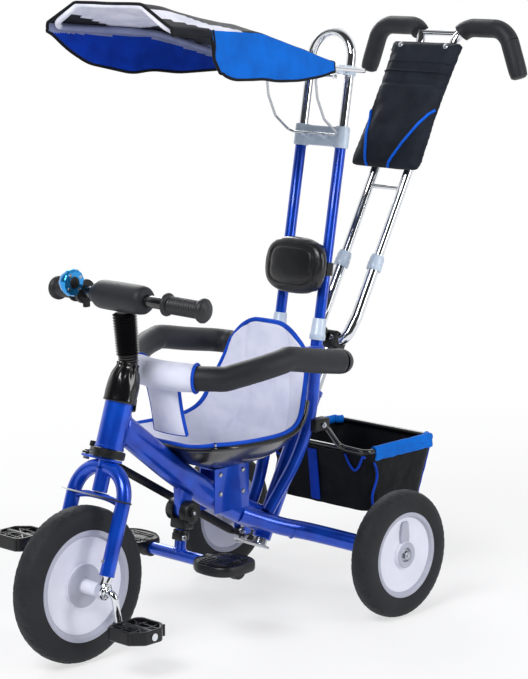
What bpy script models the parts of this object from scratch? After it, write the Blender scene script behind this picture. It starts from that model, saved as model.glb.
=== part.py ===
"""A child's parent-steered tricycle: steel frame, three foam-tyred wheels, padded seat, guard rail,
canopy, push handle that steers the fork through a rod, footrest and rear basket.

Metres, +Z up, front towards -Y, the trike's left towards +X. The origin is on the floor under the
middle of the whole tricycle.
"""
import bpy
import bmesh
from math import sin, cos, tan, pi, radians, sqrt
from mathutils import Vector, Matrix

for old in list(bpy.data.objects):
    bpy.data.objects.remove(old, do_unlink=True)

# Driving sizes
GAP = 0.0003                 # clearance left between pieces that touch
RUN = 0.0006                 # radial clearance of a turning or sliding fit
WHEELBASE = 0.539
FRONT_WHEEL_R = 0.127
FRONT_TYRE_W = 0.044
FRONT_RIM_R = 0.091
REAR_WHEEL_R = 0.109
REAR_TYRE_W = 0.040
REAR_RIM_R = 0.0735
REAR_TRACK = 0.418
WHEEL_STEPS = 36
HEAD_ANGLE = radians(18.3)   # lean of the steering axis from vertical
HEAD_TUBE_R = 0.023
HEAD_TUBE_FROM = 0.2195      # along the steering axis from the front axle
HEAD_TUBE_LENGTH = 0.086
STEERER_R = 0.0125
FORK_R = 0.012
FORK_HALF = 0.058
MAIN_TUBE_H = 0.046
MAIN_TUBE_W = 0.036
STAY_R = 0.0155
POST_R = 0.0105
POLE_R = 0.0095
POLE_HALF = 0.0455           # half the distance between the canopy poles
POLE_LEAN = radians(10)
POLE_FOOT = (-0.0265, 0.4660)
POLE_LENGTH = 0.356
ARCH_R = 0.0078
ARCH_RISE = 0.118            # straight part of the arch above the pole clamp
HANDLE_LEAN = radians(29)
HANDLE_BASE = (-0.1187, 0.120)
HANDLE_HALF = 0.0381
SOCKET_R = 0.0165
SOCKET_LENGTH = 0.275
STEM_R = 0.0122
HANDLE_LOWER_R = 0.0105
HANDLE_UPPER_R = 0.0085
COLLAR_AT = 0.529
HANDLE_TOP_AT = 0.979
GRIP_REACH = 0.174           # half the width over the push handle's grips
LINK_ARM = 0.047             # offset of the steering rod from both steering axes
BAR_HALF = 0.171
BAR_R = 0.0098
CRANK = 0.055
CRANK_X = 0.083
PEDAL_L = 0.072
PEDAL_W = 0.075
PEDAL_T = 0.022
RAIL_HALF = 0.150
RAIL_FOAM_R = 0.0205
RAIL_TUBE_R = 0.0095
RAIL_PIVOT = (-0.064, 0.440)
SEAT_HALF = 0.118
SEAT_FRONT = 0.214 - WHEELBASE
SEAT_Z = 0.283
SEAT_BACK_TOP = 0.497
BASKET_HALF = 0.118
BASKET_FRONT = 0.022
BASKET_LENGTH = 0.190
BASKET_FLOOR = 0.156
BASKET_DEPTH = 0.114
CANOPY_REAR_HALF = 0.100
CANOPY_FRONT_HALF = 0.134
CANOPY_LENGTH = 0.497
CANOPY_CROWN = 0.037         # rise of the front hoop over its corners
FLAP_FRONT = CANOPY_LENGTH - 0.092   # the left flap ends this far forward of the canopy's hinge
FOOT_PIVOT = (SEAT_FRONT + 0.019, 0.2040)
FOOT_DROP = 0.074

# The floor point under the middle of the tricycle is the origin, so the rear axle stands this far back
HANDLE_DIR = Vector((0, sin(HANDLE_LEAN), cos(HANDLE_LEAN)))
HANDLE_FOAM_R = 0.0165
REAR_REACH = HANDLE_BASE[0] + HANDLE_TOP_AT * HANDLE_DIR.y + HANDLE_FOAM_R
FACET = cos(pi / WHEEL_STEPS)
FRONT_REACH = WHEELBASE + FRONT_WHEEL_R / FACET
AXLE_Y = (FRONT_REACH - REAR_REACH) / 2


def at(x, y, z):
    """A point given from the rear axle's line on the floor."""
    return Vector((x, y + AXLE_Y, z))


HEAD_DIR = Vector((0, sin(HEAD_ANGLE), cos(HEAD_ANGLE)))
HEAD_FWD = Vector((0, -cos(HEAD_ANGLE), sin(HEAD_ANGLE)))
HANDLE_FWD = Vector((0, -cos(HANDLE_LEAN), sin(HANDLE_LEAN)))
POLE_DIR = Vector((0, sin(POLE_LEAN), cos(POLE_LEAN)))
POLE_FWD = Vector((0, -cos(POLE_LEAN), sin(POLE_LEAN)))
SIDE = Vector((1, 0, 0))
FRONT_AXLE = at(0, -WHEELBASE, FRONT_WHEEL_R)


def head(s, x=0.0, f=0.0):
    """A point s up the steering axis from the front axle, x to the left and f forward."""
    return FRONT_AXLE + HEAD_DIR * s + SIDE * x + HEAD_FWD * f


def grip_line(s, x=0.0, f=0.0):
    """A point s up the push handle's axis."""
    return at(0, *HANDLE_BASE) + HANDLE_DIR * s + SIDE * x + HANDLE_FWD * f


def pole(s, x=0.0, f=0.0):
    """A point s up the canopy poles from their foot."""
    return at(0, *POLE_FOOT) + POLE_DIR * s + SIDE * x + POLE_FWD * f


def material(name, rgb, roughness, metallic=0.0):
    mat = bpy.data.materials.get(name)
    if mat is None:
        mat = bpy.data.materials.new(name)
        mat.use_nodes = True
        shader = mat.node_tree.nodes["Principled BSDF"]
        shader.inputs["Base Color"].default_value = (*rgb, 1)
        shader.inputs["Roughness"].default_value = roughness
        shader.inputs["Metallic"].default_value = metallic
    return mat


BLUE = material("blue_enamel", (0.003, 0.035, 0.50), 0.18, 0.4)
CHROME = material("chrome_steel", (0.80, 0.81, 0.83), 0.08, 1.0)
ZINC = material("zinc_steel", (0.62, 0.64, 0.66), 0.32, 1.0)
BLACK_PLASTIC = material("black_plastic", (0.012, 0.012, 0.014), 0.42)
GLOSS_BLACK = material("gloss_black", (0.006, 0.006, 0.007), 0.15)
GREY_PLASTIC = material("grey_plastic", (0.42, 0.47, 0.53), 0.35)
FOAM = material("black_foam", (0.014, 0.014, 0.017), 0.75)
TYRE = material("tyre_foam", (0.016, 0.017, 0.021), 0.70)
RIM = material("rim_plastic", (0.66, 0.67, 0.73), 0.38)
LINER = material("liner_fabric", (0.62, 0.63, 0.76), 0.85)
BLACK_CLOTH = material("black_cloth", (0.012, 0.013, 0.016), 0.88)
BLUE_CLOTH = material("blue_cloth", (0.003, 0.03, 0.32), 0.80)
VINYL = material("black_vinyl", (0.010, 0.010, 0.011), 0.35)


def pivot(name, place, parent=None):
    """An empty on a joint's axis, which carries the pieces that move there."""
    empty = bpy.data.objects.new(name, None)
    empty.empty_display_size = 0.03
    empty.location = place
    bpy.context.scene.collection.objects.link(empty)
    if parent is not None:
        empty.parent = parent
        empty.matrix_parent_inverse = Matrix.Translation(-Vector(parent["place"]))
    empty["place"] = list(place)
    return empty


def finish(name, bm, mat, parent=None, sharp=40):
    """Turn a bmesh in world coordinates into a named object."""
    bmesh.ops.remove_doubles(bm, verts=bm.verts[:], dist=1e-7)
    bmesh.ops.recalc_face_normals(bm, faces=bm.faces[:])
    origin = Vector(parent["place"]) if parent is not None else Vector((0, 0, 0))
    bmesh.ops.translate(bm, verts=bm.verts[:], vec=-origin)
    mesh = bpy.data.meshes.new(name)
    bm.to_mesh(mesh)
    bm.free()
    mesh.shade_smooth()
    mesh.set_sharp_from_angle(angle=radians(sharp))
    obj = bpy.data.objects.new(name, mesh)
    obj.location = origin
    bpy.context.scene.collection.objects.link(obj)
    if parent is not None:
        obj.parent = parent
        obj.matrix_parent_inverse = Matrix.Translation(-origin)
    if mat is None:
        obj.hide_render = True
        obj.display_type = 'WIRE'
    else:
        mesh.materials.append(mat)
    return obj


def combine(obj, tool, how):
    """Cut a hidden tool out of an object, or weld it on."""
    tool.hide_render = True
    tool.display_type = 'WIRE'
    step = obj.modifiers.new(how.lower(), 'BOOLEAN')
    step.operation = how
    step.solver = 'EXACT'
    step.object = tool
    return obj


def cut(obj, *tools):
    for bm in tools:
        combine(obj, finish(f"{obj.name}_cutter_{len(obj.modifiers)}", bm, None), 'DIFFERENCE')
    return obj


def weld(obj, *tools):
    for bm in tools:
        combine(obj, finish(f"{obj.name}_weld_{len(obj.modifiers)}", bm, None), 'UNION')
    return obj


def circle(radius, sides=12, turn=0.0):
    return [(radius * cos(2 * pi * i / sides + turn), radius * sin(2 * pi * i / sides + turn))
            for i in range(sides)]


def oval(width, height, sides=16):
    return [(width / 2 * cos(2 * pi * i / sides), height / 2 * sin(2 * pi * i / sides))
            for i in range(sides)]


def skin(bm, rings, closed_path=False):
    """Join rings of vertices into a tube; each ring is a list of the same length."""
    pairs = list(zip(rings, rings[1:]))
    if closed_path:
        pairs.append((rings[-1], rings[0]))
    for a, b in pairs:
        n = len(a)
        for i in range(n):
            bm.faces.new((a[i], a[(i + 1) % n], b[(i + 1) % n], b[i]))


def sweep(path, section, side=SIDE, scales=None, bm=None):
    """A section carried along a path, with flat ends. Its first axis starts along side."""
    bm = bm or bmesh.new()
    rings = []
    u = Vector(side)
    for i, point in enumerate(path):
        before = path[max(i - 1, 0)]
        after = path[min(i + 1, len(path) - 1)]
        tangent = (after - before).normalized()
        u = (u - tangent * u.dot(tangent)).normalized()
        v = tangent.cross(u)
        k = scales[i] if scales else 1.0
        rings.append([bm.verts.new(point + u * a * k + v * b * k) for a, b in section])
    skin(bm, rings)
    bm.faces.new(rings[0])
    bm.faces.new(rings[-1])
    return bm


def tube(path, radius, sides=12, **more):
    side = SIDE
    first = (path[1] - path[0]).normalized()
    if abs(first.dot(SIDE)) > 0.8:
        side = Vector((0, 1, 0))
    return sweep(path, circle(radius, sides, pi / sides), side, **more)


def rounded(points, radius, steps=4):
    """A run of straight lines whose corners are arcs."""
    path = [points[0]]
    for a, b, c in zip(points, points[1:], points[2:]):
        back = (a - b).normalized()
        ahead = (c - b).normalized()
        angle = back.angle(ahead)
        if angle > pi - 0.02:
            path.append(b)
            continue
        trim = min(radius / tan(angle / 2), 0.49 * (a - b).length, 0.49 * (c - b).length)
        r = trim * tan(angle / 2)
        middle = b + (back + ahead).normalized() * (r / sin(angle / 2))
        start = b + back * trim - middle
        swing = pi - angle
        axis = start.cross(b + ahead * trim - middle).normalized()
        for i in range(steps + 1):
            path.append(middle + Matrix.Rotation(swing * i / steps, 3, axis) @ start)
    path.append(points[-1])
    return path


def turned(profile, origin, axis, sides=16, ring=False, bm=None, turn=0.0):
    """A profile of (distance along the axis, radius) points turned about the axis."""
    bm = bm or bmesh.new()
    axis = Vector(axis).normalized()
    side = SIDE if abs(axis.dot(SIDE)) < 0.8 else Vector((0, 0, 1))
    u = (side - axis * side.dot(axis)).normalized()
    v = axis.cross(u)
    rings = []
    for s, r in profile:
        if r < 1e-6:
            rings.append(bm.verts.new(origin + axis * s))
            continue
        rings.append([bm.verts.new(origin + axis * s + u * r * cos(t) + v * r * sin(t))
                      for t in (2 * pi * (i + turn) / sides for i in range(sides))])
    pairs = list(zip(rings, rings[1:]))
    if ring:
        pairs.append((rings[-1], rings[0]))
    for a, b in pairs:
        for i in range(sides):
            j = (i + 1) % sides
            if isinstance(a, list) and isinstance(b, list):
                bm.faces.new((a[i], a[j], b[j], b[i]))
            elif isinstance(b, list):
                bm.faces.new((a, b[j], b[i]))
            elif isinstance(a, list):
                bm.faces.new((a[i], a[j], b))
    if not ring:
        for end in (rings[0], rings[-1]):
            if isinstance(end, list):
                bm.faces.new(end)
    return bm


def rod(start, end, radius, sides=12, bm=None):
    length = (end - start).length
    return turned([(0, radius), (length, radius)], start, end - start, sides, bm=bm, turn=0.5)


def pipe(start, end, outer, inner, sides=12, bm=None):
    length = (end - start).length
    loop = [(0, inner), (0, outer), (length, outer), (length, inner)]
    return turned(loop, start, end - start, sides, ring=True, bm=bm, turn=0.5)


def block(size, centre, u=SIDE, n=Vector((0, 0, 1)), soft=0.0, bm=None, steps=2):
    """A box whose first axis is u and third is n, with its edges bevelled by soft."""
    own = bmesh.new()
    bmesh.ops.create_cube(own, size=1.0)
    bmesh.ops.scale(own, vec=size, verts=own.verts[:])
    if soft:
        bmesh.ops.bevel(own, geom=own.edges[:], offset=soft, segments=steps, profile=0.5, affect='EDGES')
    u = Vector(u).normalized()
    n = Vector(n).normalized()
    v = n.cross(u)
    spin = Matrix((u, v, n)).transposed().to_4x4()
    bmesh.ops.transform(own, matrix=Matrix.Translation(centre) @ spin, verts=own.verts[:])
    if bm is None:
        return own
    merge(bm, own)
    return bm


def merge(bm, other):
    """Put another bmesh's faces into this one."""
    copies = {v: bm.verts.new(v.co) for v in other.verts}
    for face in other.faces:
        bm.faces.new([copies[v] for v in face.verts])
    other.free()


def plate(outline, thickness, origin, u, v, bm=None):
    """A flat plate: an outline of (a, b) points along u and v, thickened equally both ways."""
    bm = bm or bmesh.new()
    u = Vector(u).normalized()
    v = Vector(v).normalized()
    n = u.cross(v) * thickness / 2
    rings = [[bm.verts.new(origin + u * a + v * b + n * k) for a, b in outline] for k in (-1, 1)]
    skin(bm, rings)
    bm.faces.new(rings[0])
    bm.faces.new(rings[1])
    return bm


def mirrored(bm):
    """The same shape on the trike's other side."""
    other = bm.copy()
    bmesh.ops.scale(other, vec=(-1, 1, 1), verts=other.verts[:])
    bmesh.ops.reverse_faces(other, faces=other.faces[:])
    return other


def both_sides(build):
    """Build for the left and the right: the function gets +1 or -1 and the side's name."""
    for sign, name in ((1, "left"), (-1, "right")):
        build(sign, name)


def wall(grid, thickness, offset, bm=None):
    """A curved sheet with an even thickness, closed all round, from a grid of points.

    The sheet lies from offset to offset + thickness along the grid's normals."""
    bm = bm or bmesh.new()
    rows, cols = len(grid), len(grid[0])
    normals = []
    for i in range(rows):
        line = []
        for j in range(cols):
            along = grid[min(i + 1, rows - 1)][j] - grid[max(i - 1, 0)][j]
            across = grid[i][min(j + 1, cols - 1)] - grid[i][max(j - 1, 0)]
            line.append(across.cross(along).normalized())
        normals.append(line)
    sides = [[[bm.verts.new(grid[i][j] + normals[i][j] * d) for j in range(cols)] for i in range(rows)]
             for d in (offset, offset + thickness)]
    for layer in sides:
        for i in range(rows - 1):
            for j in range(cols - 1):
                bm.faces.new((layer[i][j], layer[i][j + 1], layer[i + 1][j + 1], layer[i + 1][j]))
    rim = [(0, j) for j in range(cols)] + [(i, cols - 1) for i in range(1, rows)]
    rim += [(rows - 1, j) for j in range(cols - 2, -1, -1)] + [(i, 0) for i in range(rows - 2, 0, -1)]
    for (a, b), (c, d) in zip(rim, rim[1:] + rim[:1]):
        bm.faces.new((sides[0][a][b], sides[0][c][d], sides[1][c][d], sides[1][a][b]))
    return bm


def blend(points, t):
    """A smooth curve through a list of points, t from 0 to 1 (Catmull-Rom)."""
    n = len(points) - 1
    k = min(int(t * n), n - 1)
    f = t * n - k
    p = [points[max(k - 1, 0)], points[k], points[k + 1], points[min(k + 2, n)]]
    return (p[1] * 2 + (p[2] - p[0]) * f + (p[0] * 2 - p[1] * 5 + p[2] * 4 - p[3]) * f * f
            + (p[1] * 3 - p[0] - p[2] * 3 + p[3]) * f * f * f) * 0.5


def smooth(points, count):
    return [blend(points, i / count) for i in range(count + 1)]


# Joint axes
steering = pivot("steering_axis", head(HEAD_TUBE_FROM))
front_wheel = pivot("front_wheel_axis", FRONT_AXLE, steering)
push_handle = pivot("push_handle_axis", grip_line(0))
push_slide = pivot("push_handle_slide", grip_line(COLLAR_AT), push_handle)
LINK_FRONT = head(0.207, -LINK_ARM)
steering_link = pivot("steering_rod_axis", LINK_FRONT, steering)
footrest = pivot("footrest_axis", at(0, *FOOT_PIVOT))
guard_rail = pivot("guard_rail_axis", at(0, *RAIL_PIVOT))
arch_slide = pivot("canopy_slide", pole(POLE_LENGTH))

# Frame

HEAD_BORE = STEERER_R + RUN
HEAD_TUBE_TOP = HEAD_TUBE_FROM + HEAD_TUBE_LENGTH
# Moulded race under the head tube
COLLAR_H = 0.0145
finish("head_race", pipe(head(HEAD_TUBE_FROM - COLLAR_H), head(HEAD_TUBE_FROM - GAP),
                         HEAD_TUBE_R + 0.0035, HEAD_BORE, 20), BLACK_PLASTIC)

HEAD_JOIN = WHEELBASE - 0.093        # the main tube's front end runs this far ahead of the rear axle
TAIL = 0.110
MAIN_REACH = HEAD_JOIN - TAIL
MAIN_LINE = [at(0, -TAIL - MAIN_REACH * share, z) for share, z in
             ((1.0, 0.3715), (320 / 336, 0.357), (271 / 336, 0.318), (221 / 336, 0.279),
              (156 / 336, 0.234), (109 / 336, 0.2065), (60 / 336, 0.180), (0.0, 0.150))]
main_path = smooth(MAIN_LINE, 12)


def main_solid(grow=0.0):
    return sweep(main_path, oval(MAIN_TUBE_W + 2 * grow, MAIN_TUBE_H + 2 * grow), SIDE)


def socket_solid(grow=0.0):
    return rod(grip_line(-grow), grip_line(SOCKET_LENGTH + grow), SOCKET_R + grow, 16)


foot_pivot = at(0, *FOOT_PIVOT)
KNUCKLE_R = 0.0185
LUG_HALF = 0.0075
LUG_R = 0.0125


def seat_channel():
    """Folded steel channel standing on the main tube; the tube fills its foot."""
    half = BRACKET_W / 2
    inner = half - BRACKET_WALL
    outline = [(-half, 0.190), (-half, SEAT_UNDER), (half, SEAT_UNDER), (half, 0.190), (inner, 0.190),
               (inner, SEAT_UNDER - BRACKET_WALL), (-inner, SEAT_UNDER - BRACKET_WALL), (-inner, 0.190)]
    return plate(outline, BRACKET_L, at(0, BRACKET_Y, 0), SIDE, Vector((0, 0, 1)))


def foot_lug():
    """Steel lug under the main tube with the footrest's hinge hole."""
    arc = [(LUG_R * cos(radians(a)), LUG_R * sin(radians(a))) for a in range(180, 361, 30)]
    outline = arc + [(LUG_R + 0.003, 0.042), (-LUG_R - 0.003, 0.050)]
    return plate(outline, 2 * LUG_HALF, foot_pivot, Vector((0, 1, 0)), Vector((0, 0, 1)))


BRACKET_Y = SEAT_FRONT + 0.117
BRACKET_L = 0.082
BRACKET_W = 0.0366
BRACKET_WALL = 0.0025
SEAT_UNDER = SEAT_Z - 0.0165
# Two bent stays run from the main tube past the socket to the rear wheels
STAY_END = REAR_TRACK / 2 - REAR_TYRE_W / 2 - 0.012
PIN_R = 0.0055


def stay_path(sign):
    points = [at(sign * 0.006, -0.176, 0.176), at(sign * 0.036, -0.110, 0.147),
              at(sign * 0.062, -0.066, 0.133), at(sign * 0.108, -0.026, 0.1185),
              at(sign * (STAY_END - 0.03), -0.002, REAR_WHEEL_R), at(sign * STAY_END, 0, REAR_WHEEL_R)]
    return smooth(points, 10)


def pair(build):
    """One bmesh with the left and the right piece in it: the function gets +1 or -1."""
    bm = build(1)
    merge(bm, build(-1))
    return bm


def pin_hole(sign):
    return rod(at(sign * (STAY_END - 0.034), 0, REAR_WHEEL_R), at(sign * (STAY_END + 0.01), 0, REAR_WHEEL_R),
               PIN_R + GAP, 12)


BRAKE_AT = (-0.004, REAR_WHEEL_R - STAY_R - 0.012)
BRAKE_X = STAY_END - 0.022


def brake_lugs(sign):
    """Two ears under a stay that hold the parking brake's pedal."""
    bm = bmesh.new()
    for side in (-1, 1):
        centre = at(sign * BRAKE_X, *BRAKE_AT) + SIDE * side * 0.0125 + Vector((0, 0, 0.0105))
        block((0.0025, 0.016, 0.0255), centre, bm=bm)
    return bm




def post_path(sign):
    x = POLE_HALF
    points = [at(sign * 0.0215, -0.124, 0.172), at(sign * 0.0265, -0.100, 0.206), at(sign * 0.036, -0.074, 0.250),
              at(sign * 0.0435, -0.054, 0.300), at(sign * x, -0.040, 0.350), at(sign * x, -0.033, 0.405)]
    return smooth(points, 10) + [pole(-0.030, sign * x), pole(-0.0025, sign * x)]


def rail_lug(sign):
    """Steel lug on a post that holds the guard rail's end."""
    return block((0.014, 0.050, 0.028), at(sign * (POLE_HALF + 0.0115), RAIL_PIVOT[0] + 0.010, RAIL_PIVOT[1]))


LUG_X = POLE_HALF + 0.0115 + 0.0010


def rail_seat(sign):
    return rod(at(sign * (LUG_X - 0.0008), *RAIL_PIVOT), at(sign * 0.12, *RAIL_PIVOT), RAIL_TUBE_R + RUN, 14)


# One welded frame: head tube, main tube, socket, seat bracket, footrest lug, stays, posts and lugs
main_frame = finish("main_frame", main_solid(), BLUE)
weld(main_frame, rod(head(HEAD_TUBE_FROM), head(HEAD_TUBE_TOP), HEAD_TUBE_R, 20), socket_solid(), seat_channel(),
     foot_lug(), tube(stay_path(1), STAY_R, 12), tube(stay_path(-1), STAY_R, 12),
     pair(lambda sign: tube(post_path(sign), POST_R, 12)), pair(brake_lugs), pair(rail_lug))
cut(main_frame, rod(head(HEAD_TUBE_FROM - 0.02), head(HEAD_TUBE_TOP + 0.03), HEAD_BORE, 20),
    rod(grip_line(-0.02), grip_line(SOCKET_LENGTH + 0.02), STEM_R + RUN, 16), pair(pin_hole), pair(rail_seat))

# Rear wheels
HUB_BORE = PIN_R + RUN


def wheel_turned(profile, centre, ring=True):
    return turned(profile, centre, SIDE, WHEEL_STEPS, ring=ring, turn=0.5)


def tyre_profile(radius, rim_r, width):
    """Low crowned tread between rounded shoulders; radii are to the corners of the faceted round."""
    h = radius - rim_r
    half = [(0.36, 1.00), (0.73, 0.87), (1.00, 0.48), (0.86, 0.0)]
    right = [(a * width / 2, (rim_r + GAP + b * (h - GAP)) / FACET) for a, b in half]
    left = [(-a, r) for a, r in reversed(right)]
    return right + left


def rim_profile(rim_r, width, hub_r, hub_w, bore_r):
    """A flanged rim with a dished disc and a hub."""
    w = width / 2
    deep = 0.010
    return [(hub_w, bore_r), (hub_w, hub_r), (deep, hub_r + 0.005), (deep, rim_r - 0.012), (w, rim_r - 0.007),
            (w, rim_r), (-w, rim_r), (-w, rim_r - 0.007), (-deep, rim_r - 0.012), (-deep, hub_r + 0.005),
            (-hub_w, hub_r), (-hub_w, bore_r)]


def build_rear_wheel(sign, name):
    centre = at(sign * REAR_TRACK / 2, 0, REAR_WHEEL_R)
    axis = pivot(f"rear_wheel_axis_{name}", centre)
    finish(f"rear_tyre_{name}", wheel_turned(tyre_profile(REAR_WHEEL_R, REAR_RIM_R, REAR_TYRE_W), centre),
           TYRE, axis)
    finish(f"rear_rim_{name}", wheel_turned(rim_profile(REAR_RIM_R, REAR_TYRE_W * 0.9, 0.0235, 0.0185, HUB_BORE),
                                            centre), RIM, axis)


both_sides(build_rear_wheel)


def rear_pin(sign):
    """A pin from inside the stay through the wheel, with a spacer and a nut."""
    centre = at(sign * REAR_TRACK / 2, 0, REAR_WHEEL_R)
    inner = STAY_END - 0.033 - REAR_TRACK / 2
    collar = STAY_END + 0.0010 - REAR_TRACK / 2
    profile = [(inner, PIN_R), (collar, PIN_R), (collar, 0.0095), (-0.0192, 0.0095), (-0.0192, PIN_R),
               (0.0192, PIN_R), (0.0192, 0.0088), (0.0240, 0.0080)]
    return turned(profile, centre, SIDE * sign, 12, turn=0.5)


both_sides(lambda sign, name: finish(f"rear_pin_{name}", rear_pin(sign), ZINC))

# Parking brakes: a pedal under each stay beside the wheel


def build_brake(sign, name):
    place = at(sign * BRAKE_X, *BRAKE_AT)
    axis = pivot(f"brake_axis_{name}", place)
    pedal = plate([(-0.008, -0.007), (-0.008, 0.006), (0.004, 0.006), (0.040, -0.004), (0.044, -0.010),
                   (0.036, -0.010), (0.004, -0.007)], 0.020, place, Vector((0, 1, 0)), Vector((0, 0, 1)))
    finish(f"brake_pedal_{name}", pedal, BLACK_PLASTIC, axis)


both_sides(build_brake)

# Fork, turning in the head tube

STEERER_FOOT = 0.150
STEERER_TOP = HEAD_TUBE_TOP + 0.006
FORK_FOOT = 0.024


def steerer_solid(grow=0.0):
    return rod(head(STEERER_FOOT - grow), head(STEERER_TOP), STEERER_R + grow, 16)


FORK_CROWN = HEAD_TUBE_FROM - COLLAR_H - FORK_R - 0.003


def fork_path(sign):
    bend = 0.050
    arc = [head(FORK_CROWN - bend + bend * sin(t), sign * (FORK_HALF - bend + bend * cos(t)))
           for t in (radians(15 * i) for i in range(7))]
    return [head(FORK_FOOT, sign * FORK_HALF)] + arc + [head(FORK_CROWN, 0)]


BRACE_S = STEERER_FOOT - 0.003
BRACE_R = 0.0055


def brace_path():
    x = FORK_HALF - FORK_R * 0.4
    points = [head(BRACE_S - 0.009, -x), head(BRACE_S - 0.004, -x * 0.5), head(BRACE_S - 0.003, 0),
              head(BRACE_S - 0.004, x * 0.5), head(BRACE_S - 0.009, x)]
    return smooth(points, 8)


def arm_solid(grow=0.0):
    """The steering arm: a flat plate round the steerer with an ear to the right."""
    outline = [(STEERER_R + 0.012, -0.011), (STEERER_R + 0.012, 0.011), (-0.012, 0.016),
               (-LINK_ARM, 0.0085), (-LINK_ARM - 0.009, 0.004), (-LINK_ARM - 0.009, -0.004),
               (-LINK_ARM, -0.0085), (-0.012, -0.016)]
    if grow:
        outline = [(0.040, -0.020), (0.040, 0.020), (-0.070, 0.020), (-0.070, -0.020)]
    return plate(outline, ARM_T + 2 * grow, head(ARM_TOP - ARM_T / 2), SIDE, HEAD_FWD)


ARM_T = 0.004
ARM_TOP = HEAD_TUBE_FROM - COLLAR_H - 0.0004
SHAFT_R = 0.006
CLAMP_HALF = 0.0075


def fork_foot(sign):
    """Eye and shoe at the foot of a leg, which carry the crankshaft."""
    x = sign * FORK_HALF
    bm = rod(head(0, x - CLAMP_HALF), head(0, x + CLAMP_HALF), 0.0145, 16)
    return bm


def fork_shoe(sign):
    return block((0.0150, 0.017, 0.0180), head(0.0197, sign * FORK_HALF), SIDE, HEAD_DIR)


link_bolt = turned([(0, 0.0055), (0.0035, 0.0055), (0.0035, 0.0030), (0.0124, 0.0030), (0.0124, 0.0052),
                    (0.0170, 0.0052)], head(ARM_TOP + 0.0086, -LINK_ARM), -HEAD_DIR, 10)
fork = finish("fork", tube(fork_path(1), FORK_R, 12), BLUE, steering)
weld(fork, tube(fork_path(-1), FORK_R, 12), sweep(brace_path(), circle(BRACE_R, 10), HEAD_FWD), steerer_solid(), arm_solid(), link_bolt,
     pair(fork_foot), pair(fork_shoe))
cut(fork, rod(head(0, -0.07), head(0, 0.07), SHAFT_R + RUN, 16))

# Flat chrome strap across the legs above the tyre
STRAP_S = BRACE_S - 0.004
strap = plate([(-0.080, 0.004), (-0.077, 0.011), (-0.069, 0.0155), (0.069, 0.0155), (0.077, 0.011), (0.080, 0.004),
               (0.075, -0.004), (-0.075, -0.004)], 0.0022, head(STRAP_S), SIDE, HEAD_FWD)
strap_object = finish("fork_strap", strap, CHROME, steering)
cut(strap_object, block((0.100, 0.014, 0.010), head(STRAP_S, 0, -0.0004), SIDE, HEAD_DIR),
    tube(fork_path(1), FORK_R + GAP, 12), tube(fork_path(-1), FORK_R + GAP, 12),
    sweep(brace_path(), circle(BRACE_R + GAP, 10), HEAD_FWD), steerer_solid(GAP))

# Front wheel and the crankshaft through it
front_centre = FRONT_AXLE
finish("front_tyre", wheel_turned(tyre_profile(FRONT_WHEEL_R, FRONT_RIM_R, FRONT_TYRE_W), front_centre),
       TYRE, front_wheel)
HUB_END = FORK_HALF - CLAMP_HALF - 0.0008
finish("front_rim", wheel_turned(rim_profile(FRONT_RIM_R, FRONT_TYRE_W * 0.92, 0.0150, HUB_END, SHAFT_R + GAP),
                                 front_centre), RIM, front_wheel)

CRANK_TILT = radians(-10)
CRANK_DIR = Vector((0, -sin(CRANK_TILT), -cos(CRANK_TILT)))
PEDAL_IN = CRANK_X + SHAFT_R + 0.0015
PEDAL_X = PEDAL_IN + PEDAL_L / 2
crank_points = [front_centre + SIDE * -(PEDAL_IN + PEDAL_L + 0.002) - CRANK_DIR * CRANK,
                front_centre + SIDE * -CRANK_X - CRANK_DIR * CRANK, front_centre + SIDE * -CRANK_X,
                front_centre + SIDE * CRANK_X, front_centre + SIDE * CRANK_X + CRANK_DIR * CRANK,
                front_centre + SIDE * (PEDAL_IN + PEDAL_L + 0.002) + CRANK_DIR * CRANK]
finish("crankshaft", sweep(rounded(crank_points, 0.008, 4), circle(SHAFT_R, 10, pi / 10), CRANK_DIR),
       CHROME, front_wheel)


def pedal_outline(grow=0.0):
    """Long side inwards, corners cut at the outer end, as seen from above."""
    a, b, c = PEDAL_L / 2 + grow, PEDAL_W / 2 + grow, 0.020
    return [(-a, -b + 0.008), (-a + 0.008, -b), (a - c, -b), (a, -b + c), (a, b - c), (a - c, b),
            (-a + 0.008, b), (-a, b - 0.008)]


def build_pedal(sign, name):
    centre = front_centre + SIDE * sign * PEDAL_X + CRANK_DIR * sign * CRANK
    axis = pivot(f"pedal_axis_{name}", centre, front_wheel)
    across = Vector((0, 1, 0))
    up = Vector((0, 0, 1))
    bm = bmesh.new()
    outer = pedal_outline()
    inner = pedal_outline(-0.006)
    loops = [[bm.verts.new(centre + SIDE * sign * x + across * y + up * z) for x, y in loop]
             for loop, z in ((inner, -PEDAL_T / 2), (outer, -PEDAL_T / 2), (outer, PEDAL_T / 2), (inner, PEDAL_T / 2))]
    skin(bm, loops, closed_path=True)
    pedal = finish(f"pedal_{name}", bm, BLACK_PLASTIC, axis)
    boss = rod(centre - SIDE * (PEDAL_L / 2 - 0.002), centre + SIDE * (PEDAL_L / 2 - 0.002), 0.0105, 12)
    rib = block((PEDAL_L - 0.006, 0.0032, PEDAL_T * 0.8), centre, SIDE, up)
    ribs = [boss]
    for turn in (-0.62, 0.62):
        along = Vector((cos(turn), sin(turn), 0))
        ribs.append(block((0.078, 0.0032, PEDAL_T * 0.78), centre, along, up))
    rib.free()
    weld(pedal, *ribs)
    cut(pedal, rod(centre - SIDE * PEDAL_L, centre + SIDE * PEDAL_L, SHAFT_R + RUN, 12))


both_sides(build_pedal)

# Steering linkage: an arm on the fork, an arm on the push handle's stem and a flat rod between them
EYE_T = 0.0035
EYE_R = 0.0085
ROD_W = 0.0045
ROD_H = 0.014
STEER_SWING = radians(30)
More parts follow.
